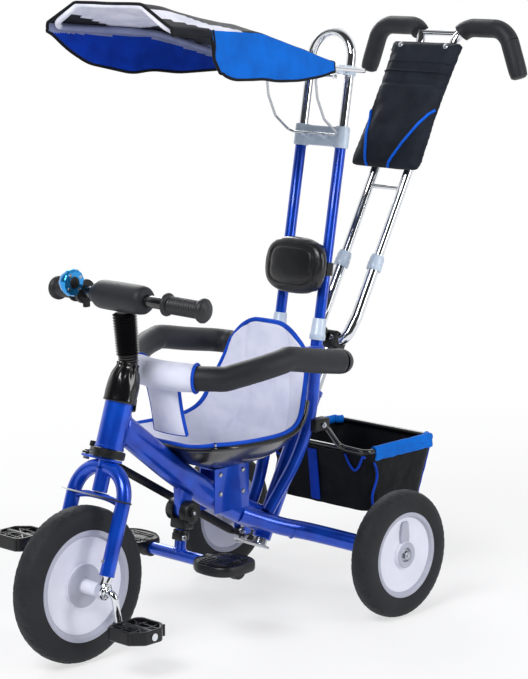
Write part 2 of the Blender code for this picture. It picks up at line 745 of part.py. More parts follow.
# The two steering axes lean differently, so the rear eye rides up and down its bolt by this much
LINK_RISE = LINK_ARM * sin(STEER_SWING) * sin(HANDLE_LEAN - HEAD_ANGLE)
EYE_PLAY = 0.0004
REAR_EYE_S = -0.0035
ROD_FRONT = head(ARM_TOP + 0.0008 + EYE_T / 2, -LINK_ARM)
ROD_REAR = grip_line(REAR_EYE_S, -LINK_ARM)
front_root = ROD_FRONT - HEAD_FWD * 0.016
rear_root = ROD_REAR + HANDLE_FWD * 0.016
rod_dir = (rear_root - front_root).normalized()
rod_length = (rear_root - front_root).length


def flat_eye(centre, ahead):
    """Round eye with a flat tail that runs back under the bar's end."""
    arc = [(EYE_R * cos(radians(a)), EYE_R * sin(radians(a))) for a in range(-20, 201, 22)]
    return plate(arc + [(-0.0055, -0.026), (0.0055, -0.026)], EYE_T, centre, SIDE, ahead)


low = -ROD_H / 2
bar_outline = [(-0.006, -EYE_T / 2), (0.014, low), (rod_length - 0.016, low), (rod_length + 0.006, -EYE_T / 2)]
bar_outline += [(a, -b) for a, b in reversed(bar_outline)]
link = finish("steering_rod", plate(bar_outline, ROD_W, front_root, rod_dir, SIDE.cross(rod_dir)), BLACK_PLASTIC,
              steering_link)
weld(link, flat_eye(ROD_FRONT, HEAD_FWD), flat_eye(ROD_REAR, -HANDLE_FWD))
cut(link, rod(ROD_FRONT - HEAD_DIR * 0.02, ROD_FRONT + HEAD_DIR * 0.02, 0.0036, 10),
    rod(ROD_REAR - HANDLE_DIR * 0.02, ROD_REAR + HANDLE_DIR * 0.02, 0.0058, 10))

ARM_S = REAR_EYE_S - EYE_T / 2 - LINK_RISE - EYE_PLAY - ARM_T / 2
rear_arm = plate([(STEM_R + 0.002, -0.0135), (STEM_R + 0.002, 0.0135), (-0.012, 0.0145), (-LINK_ARM, 0.0075),
                  (-LINK_ARM - 0.0075, 0.003), (-LINK_ARM - 0.0075, -0.003), (-LINK_ARM, -0.0075),
                  (-0.012, -0.0145)], ARM_T, grip_line(ARM_S), SIDE, HANDLE_FWD)
STEM_TOP_S = 0.352
stem_object = finish("handle_stem", rod(grip_line(ARM_S), grip_line(STEM_TOP_S), STEM_R, 16), ZINC, push_handle)
weld(stem_object, rear_arm)
nut = ARM_S - 0.0050
bolt_top = REAR_EYE_S + EYE_T / 2 + LINK_RISE + EYE_PLAY - nut
rear_bolt = turned([(0, 0.0052), (0.0040, 0.0052), (0.0040, 0.0030), (bolt_top, 0.0030), (bolt_top, 0.0062),
                    (bolt_top + 0.0030, 0.0062)], grip_line(nut, -LINK_ARM), HANDLE_DIR, 10)
weld(stem_object, rear_bolt)

# Sprung pin that locks the arm to the fork
knob_at = head(ARM_TOP, -0.028, 0.0)
PIN_OUT = HEAD_TUBE_R + 0.0035 + 0.0055
pin_base = head(ARM_TOP + 0.0003, -PIN_OUT, 0.006)
lock_slide = pivot("lock_pin_axis", pin_base, steering)
finish("lock_pin", turned([(0, 0.0024), (0.006, 0.0024), (0.006, 0.0036), (0.014, 0.0036), (0.014, 0.0052),
                           (0.021, 0.0052), (0.0225, 0.0038)], pin_base, HEAD_DIR, 10),
       BLACK_PLASTIC, lock_slide)

# Stem, bellows and handlebar
BEND = head(0.362)
STEM_TOP = FRONT_AXLE + Vector((0, 0.1055, 0.4285))
BAR_MID = FRONT_AXLE + Vector((0, 0.1025, 0.4495))
BAR_END = FRONT_AXLE + Vector((BAR_HALF, 0.1165, 0.4450))
UP_DIR = (STEM_TOP - BEND).normalized()
stem_path = rounded([head(STEERER_TOP + GAP), BEND, STEM_TOP, BAR_MID], 0.03, 4)
bar_knee = Vector((0.074, BAR_MID.y, BAR_MID.z))
bar_path = rounded([Vector((-BAR_END.x, BAR_END.y, BAR_END.z)), Vector((-bar_knee.x, bar_knee.y, bar_knee.z)),
                    bar_knee, BAR_END], 0.05, 3)
bar = finish("handlebar", sweep(bar_path, circle(BAR_R, 12, pi / 12), Vector((0, 1, 0))), GLOSS_BLACK, steering)
weld(bar, tube(stem_path, STEERER_R, 14))
FOAM_RIGHT = -0.064
FOAM_LEFT = 0.056
foam_path = [Vector((x, BAR_MID.y, BAR_MID.z)) for x in
             (FOAM_RIGHT, FOAM_RIGHT + 0.004, FOAM_RIGHT + 0.012, FOAM_LEFT - 0.012, FOAM_LEFT - 0.004, FOAM_LEFT)]
foam = finish("handlebar_foam", sweep(foam_path, circle(0.0235, 20), Vector((0, 1, 0)),
                                      scales=[0.70, 0.90, 1.0, 1.0, 0.90, 0.70]), FOAM, steering)
cut(foam, rod(BAR_MID - SIDE * 0.08, BAR_MID + SIDE * 0.08, BAR_R + 0.0004, 12),
    tube(stem_path[-8:], STEERER_R + 0.0008, 14))

GRIP_FROM = 0.0955
BELL_GRIP_FROM = 0.1130      # the right grip starts past the bell
grip_dir = (BAR_END - bar_knee).normalized()


def grip(sign):
    grip_from = GRIP_FROM if sign > 0 else BELL_GRIP_FROM
    t = (grip_from - bar_knee.x) / grip_dir.x
    base = bar_knee + grip_dir * t
    base.x *= sign
    axis = Vector((sign * grip_dir.x, grip_dir.y, grip_dir.z))
    length = (BAR_END.x - grip_from) / grip_dir.x
    bore = BAR_R + 0.0007
    ring = [(0, bore), (0, 0.0185), (0.005, 0.0185), (0.007, 0.0142), (length - 0.009, 0.0142),
            (length - 0.007, 0.0195), (length - 0.001, 0.0195), (length + 0.0045, 0.0120), (length + 0.0060, 0.0),
            (length + 0.0008, 0.0), (length + 0.0008, bore)]
    return turned(ring, base, axis, 12, ring=True)


both_sides(lambda sign, name: finish(f"bar_grip_{name}", grip(sign), BLACK_PLASTIC, steering))

# Bellows over the stem and a gathered boot over the head tube's top
BELLOWS_FROM = 0.012
bellows_length = (STEM_TOP - BEND).length - BELLOWS_FROM - 0.004
RIBS = 7
outside = []
for i in range(RIBS):
    s = BELLOWS_FROM + bellows_length * i / RIBS
    grow = 0.0010 * i / RIBS
    outside += [(s, 0.0160 + grow), (s + bellows_length * 0.5 / RIBS, 0.0186 + grow)]
outside.append((BELLOWS_FROM + bellows_length, 0.0170))
bore = [(BELLOWS_FROM + bellows_length, STEERER_R + 0.0010), (BELLOWS_FROM, STEERER_R + 0.0010)]
finish("stem_bellows", turned(outside + bore, BEND, UP_DIR, 12, ring=True), VINYL, steering)
boot = [(0.296, HEAD_TUBE_R + 0.0005), (0.296, 0.0262), (0.326, 0.0262), (0.343, 0.0232), (0.352, 0.0172),
        (0.358, 0.0150), (0.358, STEERER_R + 0.0010), (0.340, 0.0165), (0.327, HEAD_TUBE_R + 0.0005)]
finish("head_boot", turned(boot, head(0), HEAD_DIR, 16, ring=True), VINYL)

# Turn bell on the bar
BELL_X = -0.0930
bell_along = (-BELL_X - bar_knee.x) / (BAR_END.x - bar_knee.x)
bar_here = Vector((BELL_X, BAR_MID.y + (BAR_END.y - BAR_MID.y) * bell_along,
                   BAR_MID.z + (BAR_END.z - BAR_MID.z) * bell_along))
bell_centre = bar_here + Vector((-0.0045, -0.0250, 0.0170))
bell_base = finish("bell_base", rod(bar_here - SIDE * 0.004, bar_here + SIDE * 0.004, 0.0200, 18),
                   BLACK_PLASTIC, steering)
weld(bell_base, rod(bell_centre + SIDE * 0.0005, bell_centre + SIDE * 0.0085, 0.0222, 18))
cut(bell_base, sweep(bar_path, circle(BAR_R + 0.0008, 12, pi / 12), Vector((0, 1, 0))))
bell_dial = pivot("bell_dial_axis", bell_centre, steering)
finish("bell_dome", turned([(0, 0.0190), (0.006, 0.0186), (0.012, 0.0158), (0.016, 0.0100), (0.0175, 0.0045),
                            (0.0215, 0.0040), (0.0225, 0.0)], bell_centre, -SIDE, 18),
       material("bell_blue", (0.01, 0.10, 0.45), 0.2, 0.6), bell_dial)

# Footrest, folding on a knuckle whose cheeks hug the main tube's lug
FOOT_TUBE_R = 0.0095
CHEEK = 0.0245
foot_low = at(0, FOOT_PIVOT[0] - 0.009, FOOT_PIVOT[1] - FOOT_DROP)
foot_dir = (foot_low - foot_pivot).normalized()
foot_tube = finish("footrest_tube", rod(foot_pivot + foot_dir * (KNUCKLE_R - 0.004), foot_low, FOOT_TUBE_R, 12),
                   BLUE, footrest)
hub = rod(foot_pivot - SIDE * CHEEK, foot_pivot + SIDE * CHEEK, KNUCKLE_R, 18)
neck = block((0.032, 0.026, 0.016), foot_pivot + foot_dir * (KNUCKLE_R + 0.001), SIDE, -foot_dir)
slot = LUG_HALF + RUN
knuckle_slot = rod(foot_pivot - SIDE * slot, foot_pivot + SIDE * slot, LUG_R + 0.0012, 18)
clamp_at = foot_pivot + foot_dir * 0.040
hub_object = finish("footrest_knuckle", hub, BLACK_PLASTIC, footrest)
weld(hub_object, neck)
cut(hub_object, knuckle_slot,
    block((2 * slot, 0.060, 0.040), foot_pivot + Vector((0, 0, 0.0195))),
    block((2 * slot, 0.030, 0.034), foot_pivot + Vector((0, 0.0160, 0.0085))))
bolt_head = turned([(0, 0.0072), (0.003, 0.0068), (0.0045, 0.004)], foot_pivot + SIDE * (CHEEK - 0.0005), SIDE, 10)
weld(hub_object, bolt_head, rod(clamp_at - foot_dir * 0.0085, clamp_at + foot_dir * 0.0085, 0.0135, 14),
     block((0.026, 0.010, 0.013), clamp_at + SIDE * 0.009 - Vector((0, 0.0145, 0)), SIDE, -foot_dir),
     block((0.014, 0.005, 0.034), foot_pivot + foot_dir * 0.030 + Vector((0, 0.0110, 0)), SIDE, -foot_dir))
cut(hub_object, rod(foot_pivot + foot_dir * (KNUCKLE_R - 0.0045), foot_low, FOOT_TUBE_R + GAP, 12))
PLATE_X = 0.110
PLATE_L = 0.092
PLATE_W = 0.090
PLATE_T = 0.016
weld(foot_tube, rod(foot_low - SIDE * (PLATE_X - 0.030), foot_low + SIDE * (PLATE_X - 0.030), 0.0105, 12))


def foot_plate(sign):
    centre = foot_low + SIDE * sign * PLATE_X + Vector((0, -0.008, 0.006))
    a, b = PLATE_L / 2, PLATE_W / 2
    half = [(-a, -b * 0.45), (-a + 0.012, -b * 0.72), (-a * 0.3, -b), (a * 0.45, -b), (a * 0.85, -b * 0.72),
            (a, -b * 0.25)]
    outline = half + [(x, -y) for x, y in reversed(half)]
    return plate(outline, PLATE_T, centre, SIDE * sign, Vector((0, 1, 0)))


def plate_boss(sign):
    return rod(foot_low + SIDE * sign * (PLATE_X - 0.046), foot_low + SIDE * sign * (PLATE_X + 0.030), 0.0150, 12)


def plate_slot(sign):
    centre = foot_low + SIDE * sign * (PLATE_X + 0.020) + Vector((0, -0.034, 0))
    return block((0.020, 0.012, 0.05), centre)


def build_tread(sign, name):
    tread = finish(f"foot_plate_{name}", foot_plate(sign), BLACK_PLASTIC, footrest)
    weld(tread, plate_boss(sign))
    cut(tread, rod(foot_low - SIDE * (PLATE_X - 0.0295), foot_low + SIDE * (PLATE_X - 0.0295), 0.0105 + GAP, 12),
        plate_slot(sign))


both_sides(build_tread)

# Seat: a moulded pan with a padded liner in it

SEAT_SPINE = [at(0, SEAT_FRONT - 0.006, SEAT_Z + 0.038), at(0, SEAT_FRONT + 0.022, SEAT_Z + 0.010),
              at(0, SEAT_FRONT + 0.080, SEAT_Z), at(0, SEAT_FRONT + 0.150, SEAT_Z),
              at(0, SEAT_FRONT + 0.196, SEAT_Z + 0.016), at(0, SEAT_FRONT + 0.217, SEAT_Z + 0.062),
              at(0, SEAT_FRONT + 0.2225, SEAT_Z + 0.130), at(0, SEAT_FRONT + 0.2235, SEAT_BACK_TOP)]
# How far the edges stand from the middle line, at the same places
SEAT_EDGE = [Vector((0, y, z)) for y, z in ((0, 0.013), (0, 0.040), (0, 0.048), (-0.008, 0.050), (-0.018, 0.050),
                                            (-0.018, 0.042), (-0.004, 0.020), (0, -0.017))]
SEAT_WIDTH = [Vector((x, 0, 0)) for x in (0.86, 0.96, 1.0, 1.0, 0.97, 0.90, 0.80, 0.70)]


def seat_point(u, v):
    """u runs from the front edge (0) over the seat and up the back (1); v runs from side to side."""
    curl = max(abs(v) - 0.30, 0.0) / 0.70
    wide = SEAT_HALF * blend(SEAT_WIDTH, u).x
    return blend(SEAT_SPINE, u) + SIDE * (wide * v) + blend(SEAT_EDGE, u) * curl ** 1.6


def seat_grid(u_from, u_to, rows, v_half, cols):
    return [[seat_point(u_from + (u_to - u_from) * i / rows, v_half * (2 * j / cols - 1))
             for j in range(cols + 1)] for i in range(rows + 1)]


PAN_T = 0.004
LINER_T = 0.006
pan = finish("seat_pan", wall(seat_grid(0.0, 11 / 16, 11, 1.0, 12), PAN_T, -0.0080), VINYL)
finish("seat_liner", wall(seat_grid(0.0, 1.0, 16, 1.0, 12), LINER_T, -0.0030), LINER)
rest = bmesh.new()
for y in (BRACKET_Y + 0.018, BRACKET_Y - 0.018):
    rod(at(0, y, SEAT_UNDER + GAP), at(0, y, SEAT_Z - 0.0075), 0.012, 12, bm=rest)
weld(pan, rest)
cut(pan, main_solid(0.0010))

# Poles, sleeves, clamp and headrest
arch_legs_from = POLE_LENGTH - 0.112


def sleeve(sign):
    loop = [(-0.006, POST_R + 0.0006), (-0.006, 0.0138), (0.004, 0.0130), (0.031, 0.0112),
            (0.031, POLE_R + GAP), (0.0006, POLE_R + GAP), (-0.0004, POST_R + 0.0006)]
    return turned(loop, pole(0, sign * POLE_HALF), POLE_DIR, 14, ring=True)


def pole_pipe(sign):
    x = sign * POLE_HALF
    return pipe(pole(GAP, x), pole(POLE_LENGTH, x), POLE_R, ARCH_R + RUN, 14)


both_sides(lambda sign, name: finish(f"canopy_pole_{name}", pole_pipe(sign), BLUE))
both_sides(lambda sign, name: finish(f"pole_sleeve_{name}", sleeve(sign), GREY_PLASTIC))

CLAMP_FROM = POLE_LENGTH - 0.034
BARREL_R = 0.0128
CLAMP_TO = POLE_LENGTH + 0.003
web = block((2 * POLE_HALF, 0.013, CLAMP_TO - CLAMP_FROM - 0.0012), pole((CLAMP_FROM + CLAMP_TO) / 2), SIDE, POLE_DIR)
clamp = finish("pole_clamp", web, GREY_PLASTIC)
weld(clamp, rod(pole(CLAMP_FROM, POLE_HALF), pole(CLAMP_TO, POLE_HALF), BARREL_R, 16),
     rod(pole(CLAMP_FROM, -POLE_HALF), pole(CLAMP_TO, -POLE_HALF), BARREL_R, 16))
for sign in (1, -1):
    x = sign * POLE_HALF
    index = "left" if sign > 0 else "right"
    bore_tool = turned([(CLAMP_FROM - 0.01, POLE_R + GAP), (POLE_LENGTH + 0.0005, POLE_R + GAP),
                        (POLE_LENGTH + 0.0005, ARCH_R + RUN), (POLE_LENGTH + 0.02, ARCH_R + RUN)],
                       pole(0, x), POLE_DIR, 14, turn=0.5)
    combine(clamp, finish(f"pole_clamp_bore_{index}", bore_tool, None), 'DIFFERENCE')
# Hooks on the clamp's front carry the stay's foot
STAY_FOOT = pole(POLE_LENGTH - 0.013, 0, 0.0205)
STAY_WIRE_R = 0.0022
hooks = bmesh.new()
hook_roots = bmesh.new()
for x in (-0.020, 0.020):
    centre = STAY_FOOT + SIDE * x
    r_out, r_in = 0.0065, STAY_WIRE_R + 0.0006
    arc = [radians(200 + 20 * i) for i in range(10)]
    outline = [(r_out * cos(t), r_out * sin(t)) for t in arc]
    outline += [(r_in * cos(t), r_in * sin(t)) for t in reversed(arc)]
    plate(outline, 0.007, centre, -POLE_FWD, POLE_DIR, bm=hooks)
    block((0.0072, 0.0140, 0.0085), STAY_FOOT + SIDE * x - POLE_FWD * 0.0122 - POLE_DIR * 0.0026, SIDE, POLE_DIR,
          bm=hook_roots)
weld(clamp, hook_roots, hooks)
cut(clamp, rod(STAY_FOOT - SIDE * 0.03, STAY_FOOT + SIDE * 0.03, STAY_WIRE_R + 0.0006, 12))

HEADREST_S = 0.116
headrest_front = pole(HEADREST_S, 0, 0.026)
pad = block((0.134, 0.030, 0.098), headrest_front, SIDE, POLE_DIR, 0.013, steps=3)
finish("headrest_pad", pad, VINYL)
yoke = block((2 * POLE_HALF + 0.026, 0.008, 0.022), pole(HEADREST_S, 0, 0.0145 - 0.0079), SIDE, POLE_DIR, 0.0)
yoke_object = finish("headrest_bracket", yoke, BLACK_PLASTIC)
for sign in (1, -1):
    x = sign * POLE_HALF
    collar = rod(pole(HEADREST_S - 0.011, x), pole(HEADREST_S + 0.011, x), 0.0128, 14)
    combine(yoke_object, finish(f"headrest_bracket_collar_{sign}", collar, None), 'UNION')
front_trim = block((0.2, 0.02, 0.05), pole(HEADREST_S, 0, 0.0110 + 0.0097), SIDE, POLE_DIR)
combine(yoke_object, finish("headrest_bracket_trim", front_trim, None), 'DIFFERENCE')
for sign in (1, -1):
    x = sign * POLE_HALF
    hole = rod(pole(HEADREST_S - 0.02, x), pole(HEADREST_S + 0.02, x), POLE_R + GAP, 14)
    combine(yoke_object, finish(f"headrest_bracket_bore_{sign}", hole, None), 'DIFFERENCE')

# Guard rail, lifting on two collars on the posts
RAIL_FRONT = SEAT_FRONT - 0.033
rail_z = RAIL_PIVOT[1]


def rail_line():
    """The rail's centre from the left collar, round the front, to the right collar."""
    bend_r = 0.030
    points = [at(RAIL_HALF - bend_r, *RAIL_PIVOT)]
    corner = at(RAIL_HALF - bend_r, RAIL_PIVOT[0] - bend_r, rail_z + 0.002)
    for i in range(1, 4):
        t = radians(90 - 90 * i / 3)
        points.append(Vector((corner.x + bend_r * cos(t), corner.y + bend_r * sin(t), rail_z + 0.002 * i / 3)))
    straight_end = RAIL_FRONT + RAIL_HALF
    points.append(at(RAIL_HALF, -0.150, rail_z + 0.014))
    points.append(at(RAIL_HALF, straight_end, rail_z + 0.025))
    for i in range(1, 6):
        t = radians(90 * i / 5)
        drop = 0.024 * min(i / 3.5, 1.0)
        points.append(at(RAIL_HALF * cos(t), straight_end - RAIL_HALF * sin(t), rail_z + 0.025 - drop))
    return points


half_rail = rail_line()
rail_points = half_rail + [Vector((-p.x, p.y, p.z)) for p in reversed(half_rail[:-1])]
inner_left = at(LUG_X, *RAIL_PIVOT)
inner_right = at(-LUG_X, *RAIL_PIVOT)
UPRIGHT = Vector((0, 0, 1))
finish("guard_rail_tube", sweep([inner_left] + rail_points + [inner_right], circle(RAIL_TUBE_R, 8, pi / 8), UPRIGHT),
       CHROME, guard_rail)
foam_from = at(LUG_X + 0.016, *RAIL_PIVOT)
foam_to = at(-LUG_X - 0.016, *RAIL_PIVOT)
rail_foam = finish("guard_rail_foam", sweep([foam_from] + rail_points + [foam_to], circle(RAIL_FOAM_R, 12, pi / 12),
                                            UPRIGHT), FOAM, guard_rail)
cut(rail_foam, sweep([inner_left] + rail_points + [inner_right], circle(RAIL_TUBE_R + 0.0005, 8, pi / 8), UPRIGHT))
# Fabric cover round the rail's front, with the panel that comes down to the seat
front_points = [p for p in rail_points if p.y < at(0, RAIL_FRONT + 0.035, 0).y]
COVER_END = 0.44             # how far the cover reaches into the next stretch of the rail
cover_rail = [front_points[1].lerp(front_points[0], COVER_END)] + front_points[1:-1]
cover_rail.append(front_points[-2].lerp(front_points[-1], COVER_END))
cover = finish("guard_cover", sweep(cover_rail, circle(RAIL_FOAM_R + 0.0030, 12, pi / 12), UPRIGHT), LINER, guard_rail)
rail_front_z = half_rail[-1].z
panel_top = rail_front_z - RAIL_FOAM_R + 0.002
PANEL_HALF = 0.036
panel_rows = []
for i in range(6):
    t = i / 5
    y = RAIL_FRONT + 0.004 + 0.028 * t
    z = panel_top - (panel_top - SEAT_Z - 0.058) * t
    half = PANEL_HALF * (1.0 - 0.12 * sin(pi * t))
    panel_rows.append([at(half * v, y + 0.006 * v * v, z) for v in (1, 0.5, 0, -0.5, -1)])
weld(cover, wall(panel_rows, 0.004, 0.0))
cut(cover, sweep(rail_points, circle(RAIL_FOAM_R + 0.0007, 12, pi / 12), UPRIGHT))

# Basket hung on the posts behind the seat
BASKET_WALL = 0.004
TAPER_FRONT = 0.012
TAPER_BACK = 0.032
TAPER_SIDE = 0.007


def tub_solid(inset, z_low, z_high, corner):
    """A box with rounded upright corners that narrows downwards, inset on all sides."""
    bm = bmesh.new()
    rings = []
    for z in (z_low, z_high):
        k = (BASKET_FLOOR + BASKET_DEPTH - z) / BASKET_DEPTH
        x = BASKET_HALF - inset - TAPER_SIDE * k
        front = BASKET_FRONT + inset + TAPER_FRONT * k
        back = BASKET_FRONT + BASKET_LENGTH - inset - TAPER_BACK * k
        ring = []
        for cx, cy, start in ((x - corner, back - corner, 0), (-x + corner, back - corner, 90),
                              (-x + corner, front + corner, 180), (x - corner, front + corner, 270)):
            for a in (0, 45, 90):
                t = radians(start + a)
                ring.append(bm.verts.new(at(cx + corner * cos(t), cy + corner * sin(t), z)))
        rings.append(ring)
    skin(bm, rings)
    bm.faces.new(rings[0])
    bm.faces.new(rings[1])
    return bm


BASKET_TOP = BASKET_FLOOR + BASKET_DEPTH - 0.012
tub = finish("basket", tub_solid(0.0, BASKET_FLOOR, BASKET_TOP, 0.018), BLACK_CLOTH)
cut(tub, tub_solid(BASKET_WALL, BASKET_FLOOR + BASKET_WALL, BASKET_TOP + 0.02, 0.014))
rim_z = BASKET_TOP + 0.0052
rim_x = BASKET_HALF - 0.006
rim_front = BASKET_FRONT + 0.004
rim_back = BASKET_FRONT + BASKET_LENGTH - 0.006
ARM_X = 0.062
arm_front = -0.027
wire = rounded([at(ARM_X, arm_front, rim_z + 0.052), at(ARM_X, rim_front - 0.012, rim_z + 0.005),
                at(rim_x, rim_front, rim_z), at(rim_x, rim_back, rim_z), at(-rim_x, rim_back, rim_z),
                at(-rim_x, rim_front, rim_z), at(-ARM_X, rim_front - 0.012, rim_z + 0.005),
                at(-ARM_X, arm_front, rim_z + 0.052)], 0.020, 4)
basket_frame = finish("basket_frame", sweep(wire, circle(0.0048, 6, pi / 6), UPRIGHT), GLOSS_BLACK)
front_bar = rod(at(-rim_x + 0.022, rim_front + 0.001, rim_z), at(rim_x - 0.022, rim_front + 0.001, rim_z), 0.0042, 8)
weld(basket_frame, front_bar)
holders = bmesh.new()
for sign in (1, -1):
    block((0.020, 0.036, 0.022), at(sign * (POLE_HALF + 0.0110), -0.034, rim_z + 0.052), bm=holders)
weld(basket_frame, holders)
cut(basket_frame, pair(lambda sign: tube(post_path(sign), POST_R + GAP, 12)))

# Push handle: stem, lower tubes and clamp
YOKE_S = STEM_TOP_S + GAP + 0.015
yoke_block = finish("handle_yoke", block((0.052, 0.034, 0.030), grip_line(YOKE_S, 0, 0.004), SIDE, HANDLE_DIR, 0.004),
                    BLACK_PLASTIC, push_handle)
knob_from = grip_line(YOKE_S + 0.004, 0, 0.004 + 0.017 + GAP)
weld(yoke_block, turned([(0, 0.0070), (0.006, 0.0070), (0.008, 0.0125), (0.016, 0.0125), (0.019, 0.0095)],
                        knob_from - HANDLE_FWD * 0.002, HANDLE_FWD, 12))


def lower_path():
    """One tube bent to a U, whose middle lies in the yoke."""
    half = [grip_line(COLLAR_AT - 0.005, HANDLE_HALF), grip_line(YOKE_S + 0.050, HANDLE_HALF),
            grip_line(YOKE_S + 0.002, HANDLE_HALF - 0.004, 0.004)]
    return rounded(half + [Vector((-p.x, p.y, p.z)) for p in reversed(half)], 0.020, 4)


lower_tubes = finish("handle_lower_tube", sweep(lower_path(), circle(HANDLE_LOWER_R, 10, pi / 10), HANDLE_FWD),
                     CHROME, push_handle)
cut(yoke_block, sweep(lower_path(), circle(HANDLE_LOWER_R + GAP, 10, pi / 10), HANDLE_FWD))
SLIDE_DEPTH = 0.088
bores = bmesh.new()
for sign in (1, -1):
    rod(grip_line(COLLAR_AT - SLIDE_DEPTH, sign * HANDLE_HALF), grip_line(COLLAR_AT + 0.02, sign * HANDLE_HALF),
        HANDLE_UPPER_R + RUN, 10, bm=bores)
cut(lower_tubes, bores)


def handle_collar(sign):
    loop = [(COLLAR_AT - 0.024, HANDLE_LOWER_R + 0.0007), (COLLAR_AT - 0.024, 0.0132), (COLLAR_AT, 0.0128),
            (COLLAR_AT + 0.004, 0.0112), (COLLAR_AT + 0.004, HANDLE_UPPER_R + RUN),
            (COLLAR_AT - 0.0045, HANDLE_UPPER_R + RUN), (COLLAR_AT - 0.0045, HANDLE_LOWER_R + 0.0007)]
    return turned(loop, grip_line(0, sign * HANDLE_HALF), HANDLE_DIR, 12, ring=True)


both_sides(lambda sign, name: finish(f"handle_collar_{name}", handle_collar(sign), GREY_PLASTIC, push_handle))

# Push handle: sliding upper tubes with grips, crossbars and bag
UPPER_FROM = COLLAR_AT - 0.026
uppers = bmesh.new()
top_y = grip_line(HANDLE_TOP_AT).y - AXLE_Y
top_z = grip_line(HANDLE_TOP_AT).z
TOP_R = HANDLE_UPPER_R


def horn(sign):
    """From the lower end of one upper tube, up and round to the end of its grip."""
    out = at(sign * GRIP_REACH, top_y, top_z - 0.082)
    return rounded([grip_line(UPPER_FROM, sign * HANDLE_HALF), grip_line(HANDLE_TOP_AT, sign * HANDLE_HALF),
                    at(sign * (GRIP_REACH - 0.030), top_y, top_z), out], 0.036, 4)


for sign in (1, -1):
    sweep(horn(sign), circle(TOP_R, 10, pi / 10), HANDLE_FWD, bm=uppers)
upper_tubes = finish("handle_upper_tubes", uppers, CHROME, push_slide)
weld(upper_tubes, rod(grip_line(HANDLE_TOP_AT - 0.012, -HANDLE_HALF), grip_line(HANDLE_TOP_AT - 0.012, HANDLE_HALF),
                      0.0062, 10))
weld(upper_tubes, rod(grip_line(0.662, -HANDLE_HALF), grip_line(0.662, HANDLE_HALF), 0.0040, 8))


def handle_foam(sign):
    line = [p for p in horn(sign) if abs(p.x) > HANDLE_HALF + 0.008]
    last = line[-1] + (line[-1] - line[-2]).normalized() * 0.003
    return sweep(line + [last], circle(HANDLE_FOAM_R, 12, pi / 12), HANDLE_FWD)


def build_handle_grip(sign, name):
    foam_grip = finish(f"handle_grip_{name}", handle_foam(sign), FOAM, push_slide)
    cut(foam_grip, sweep(horn(sign), circle(TOP_R + 0.0005, 10, pi / 10), HANDLE_FWD))


both_sides(build_handle_grip)
BAG_FROM, BAG_TO = 0.678, 0.947
BAG_T = 0.020
bag_mid = grip_line((BAG_FROM + BAG_TO) / 2, 0, TOP_R + 0.0025 + BAG_T / 2)
bag_half_top, bag_half_low = 0.086, 0.084
bag_h = (BAG_TO - BAG_FROM) / 2
bag = plate([(-bag_half_low, -bag_h), (bag_half_low, -bag_h), (bag_half_top, bag_h), (-bag_half_top, bag_h)],
            BAG_T, bag_mid, SIDE, HANDLE_DIR)
bmesh.ops.bevel(bag, geom=bag.edges[:], offset=0.006, segments=2, profile=0.5, affect='EDGES')
finish("handle_bag", bag, BLACK_CLOTH, push_slide)

# Canopy: sliding arch, tilting hood and its wire stay
ARCH_TOP_S = POLE_LENGTH + ARCH_RISE
turn_points = [pole(arch_legs_from, POLE_HALF)]
for i in range(13):
    t = pi * i / 12
    turn_points.append(pole(ARCH_TOP_S + POLE_HALF * sin(t), POLE_HALF * cos(t)))
turn_points.append(pole(arch_legs_from, -POLE_HALF))
finish("canopy_arch", sweep(turn_points, circle(ARCH_R, 12, pi / 12), POLE_FWD), CHROME, arch_slide)

HOOD_S = POLE_LENGTH + 0.098
BOW_R = 0.0040
hood_pivot = pole(HOOD_S, 0, ARCH_R + BOW_R + 0.0012)
hood = pivot("canopy_axis", hood_pivot, arch_slide)
clips = bmesh.new()
for sign in (1, -1):
    centre = pole(HOOD_S, sign * POLE_HALF)
    pipe(centre - POLE_DIR * 0.008, centre + POLE_DIR * 0.008, ARCH_R + 0.0030, ARCH_R + GAP, 14, bm=clips)
clip_object = finish("arch_bracket", clips, GREY_PLASTIC, arch_slide)
weld(clip_object, block((2 * POLE_HALF, 0.006, 0.012), pole(HOOD_S), SIDE, POLE_DIR))
for sign in (1, -1):
    ear = block((0.010, 0.016, 0.014), pole(HOOD_S, sign * POLE_HALF, ARCH_R + 0.008), SIDE, POLE_DIR)
    combine(clip_object, finish(f"arch_clips_ear_{sign}", ear, None), 'UNION')
for sign in (1, -1):
    x = sign * POLE_HALF
    hole = rod(pole(HOOD_S - 0.02, x), pole(HOOD_S + 0.02, x), ARCH_R + GAP, 14)
    combine(clip_object, finish(f"arch_clips_leg_{sign}", hole, None), 'DIFFERENCE')
hole = rod(hood_pivot - SIDE * 0.2, hood_pivot + SIDE * 0.2, BOW_R + RUN, 10)
combine(clip_object, finish("arch_clips_bow", hole, None), 'DIFFERENCE')

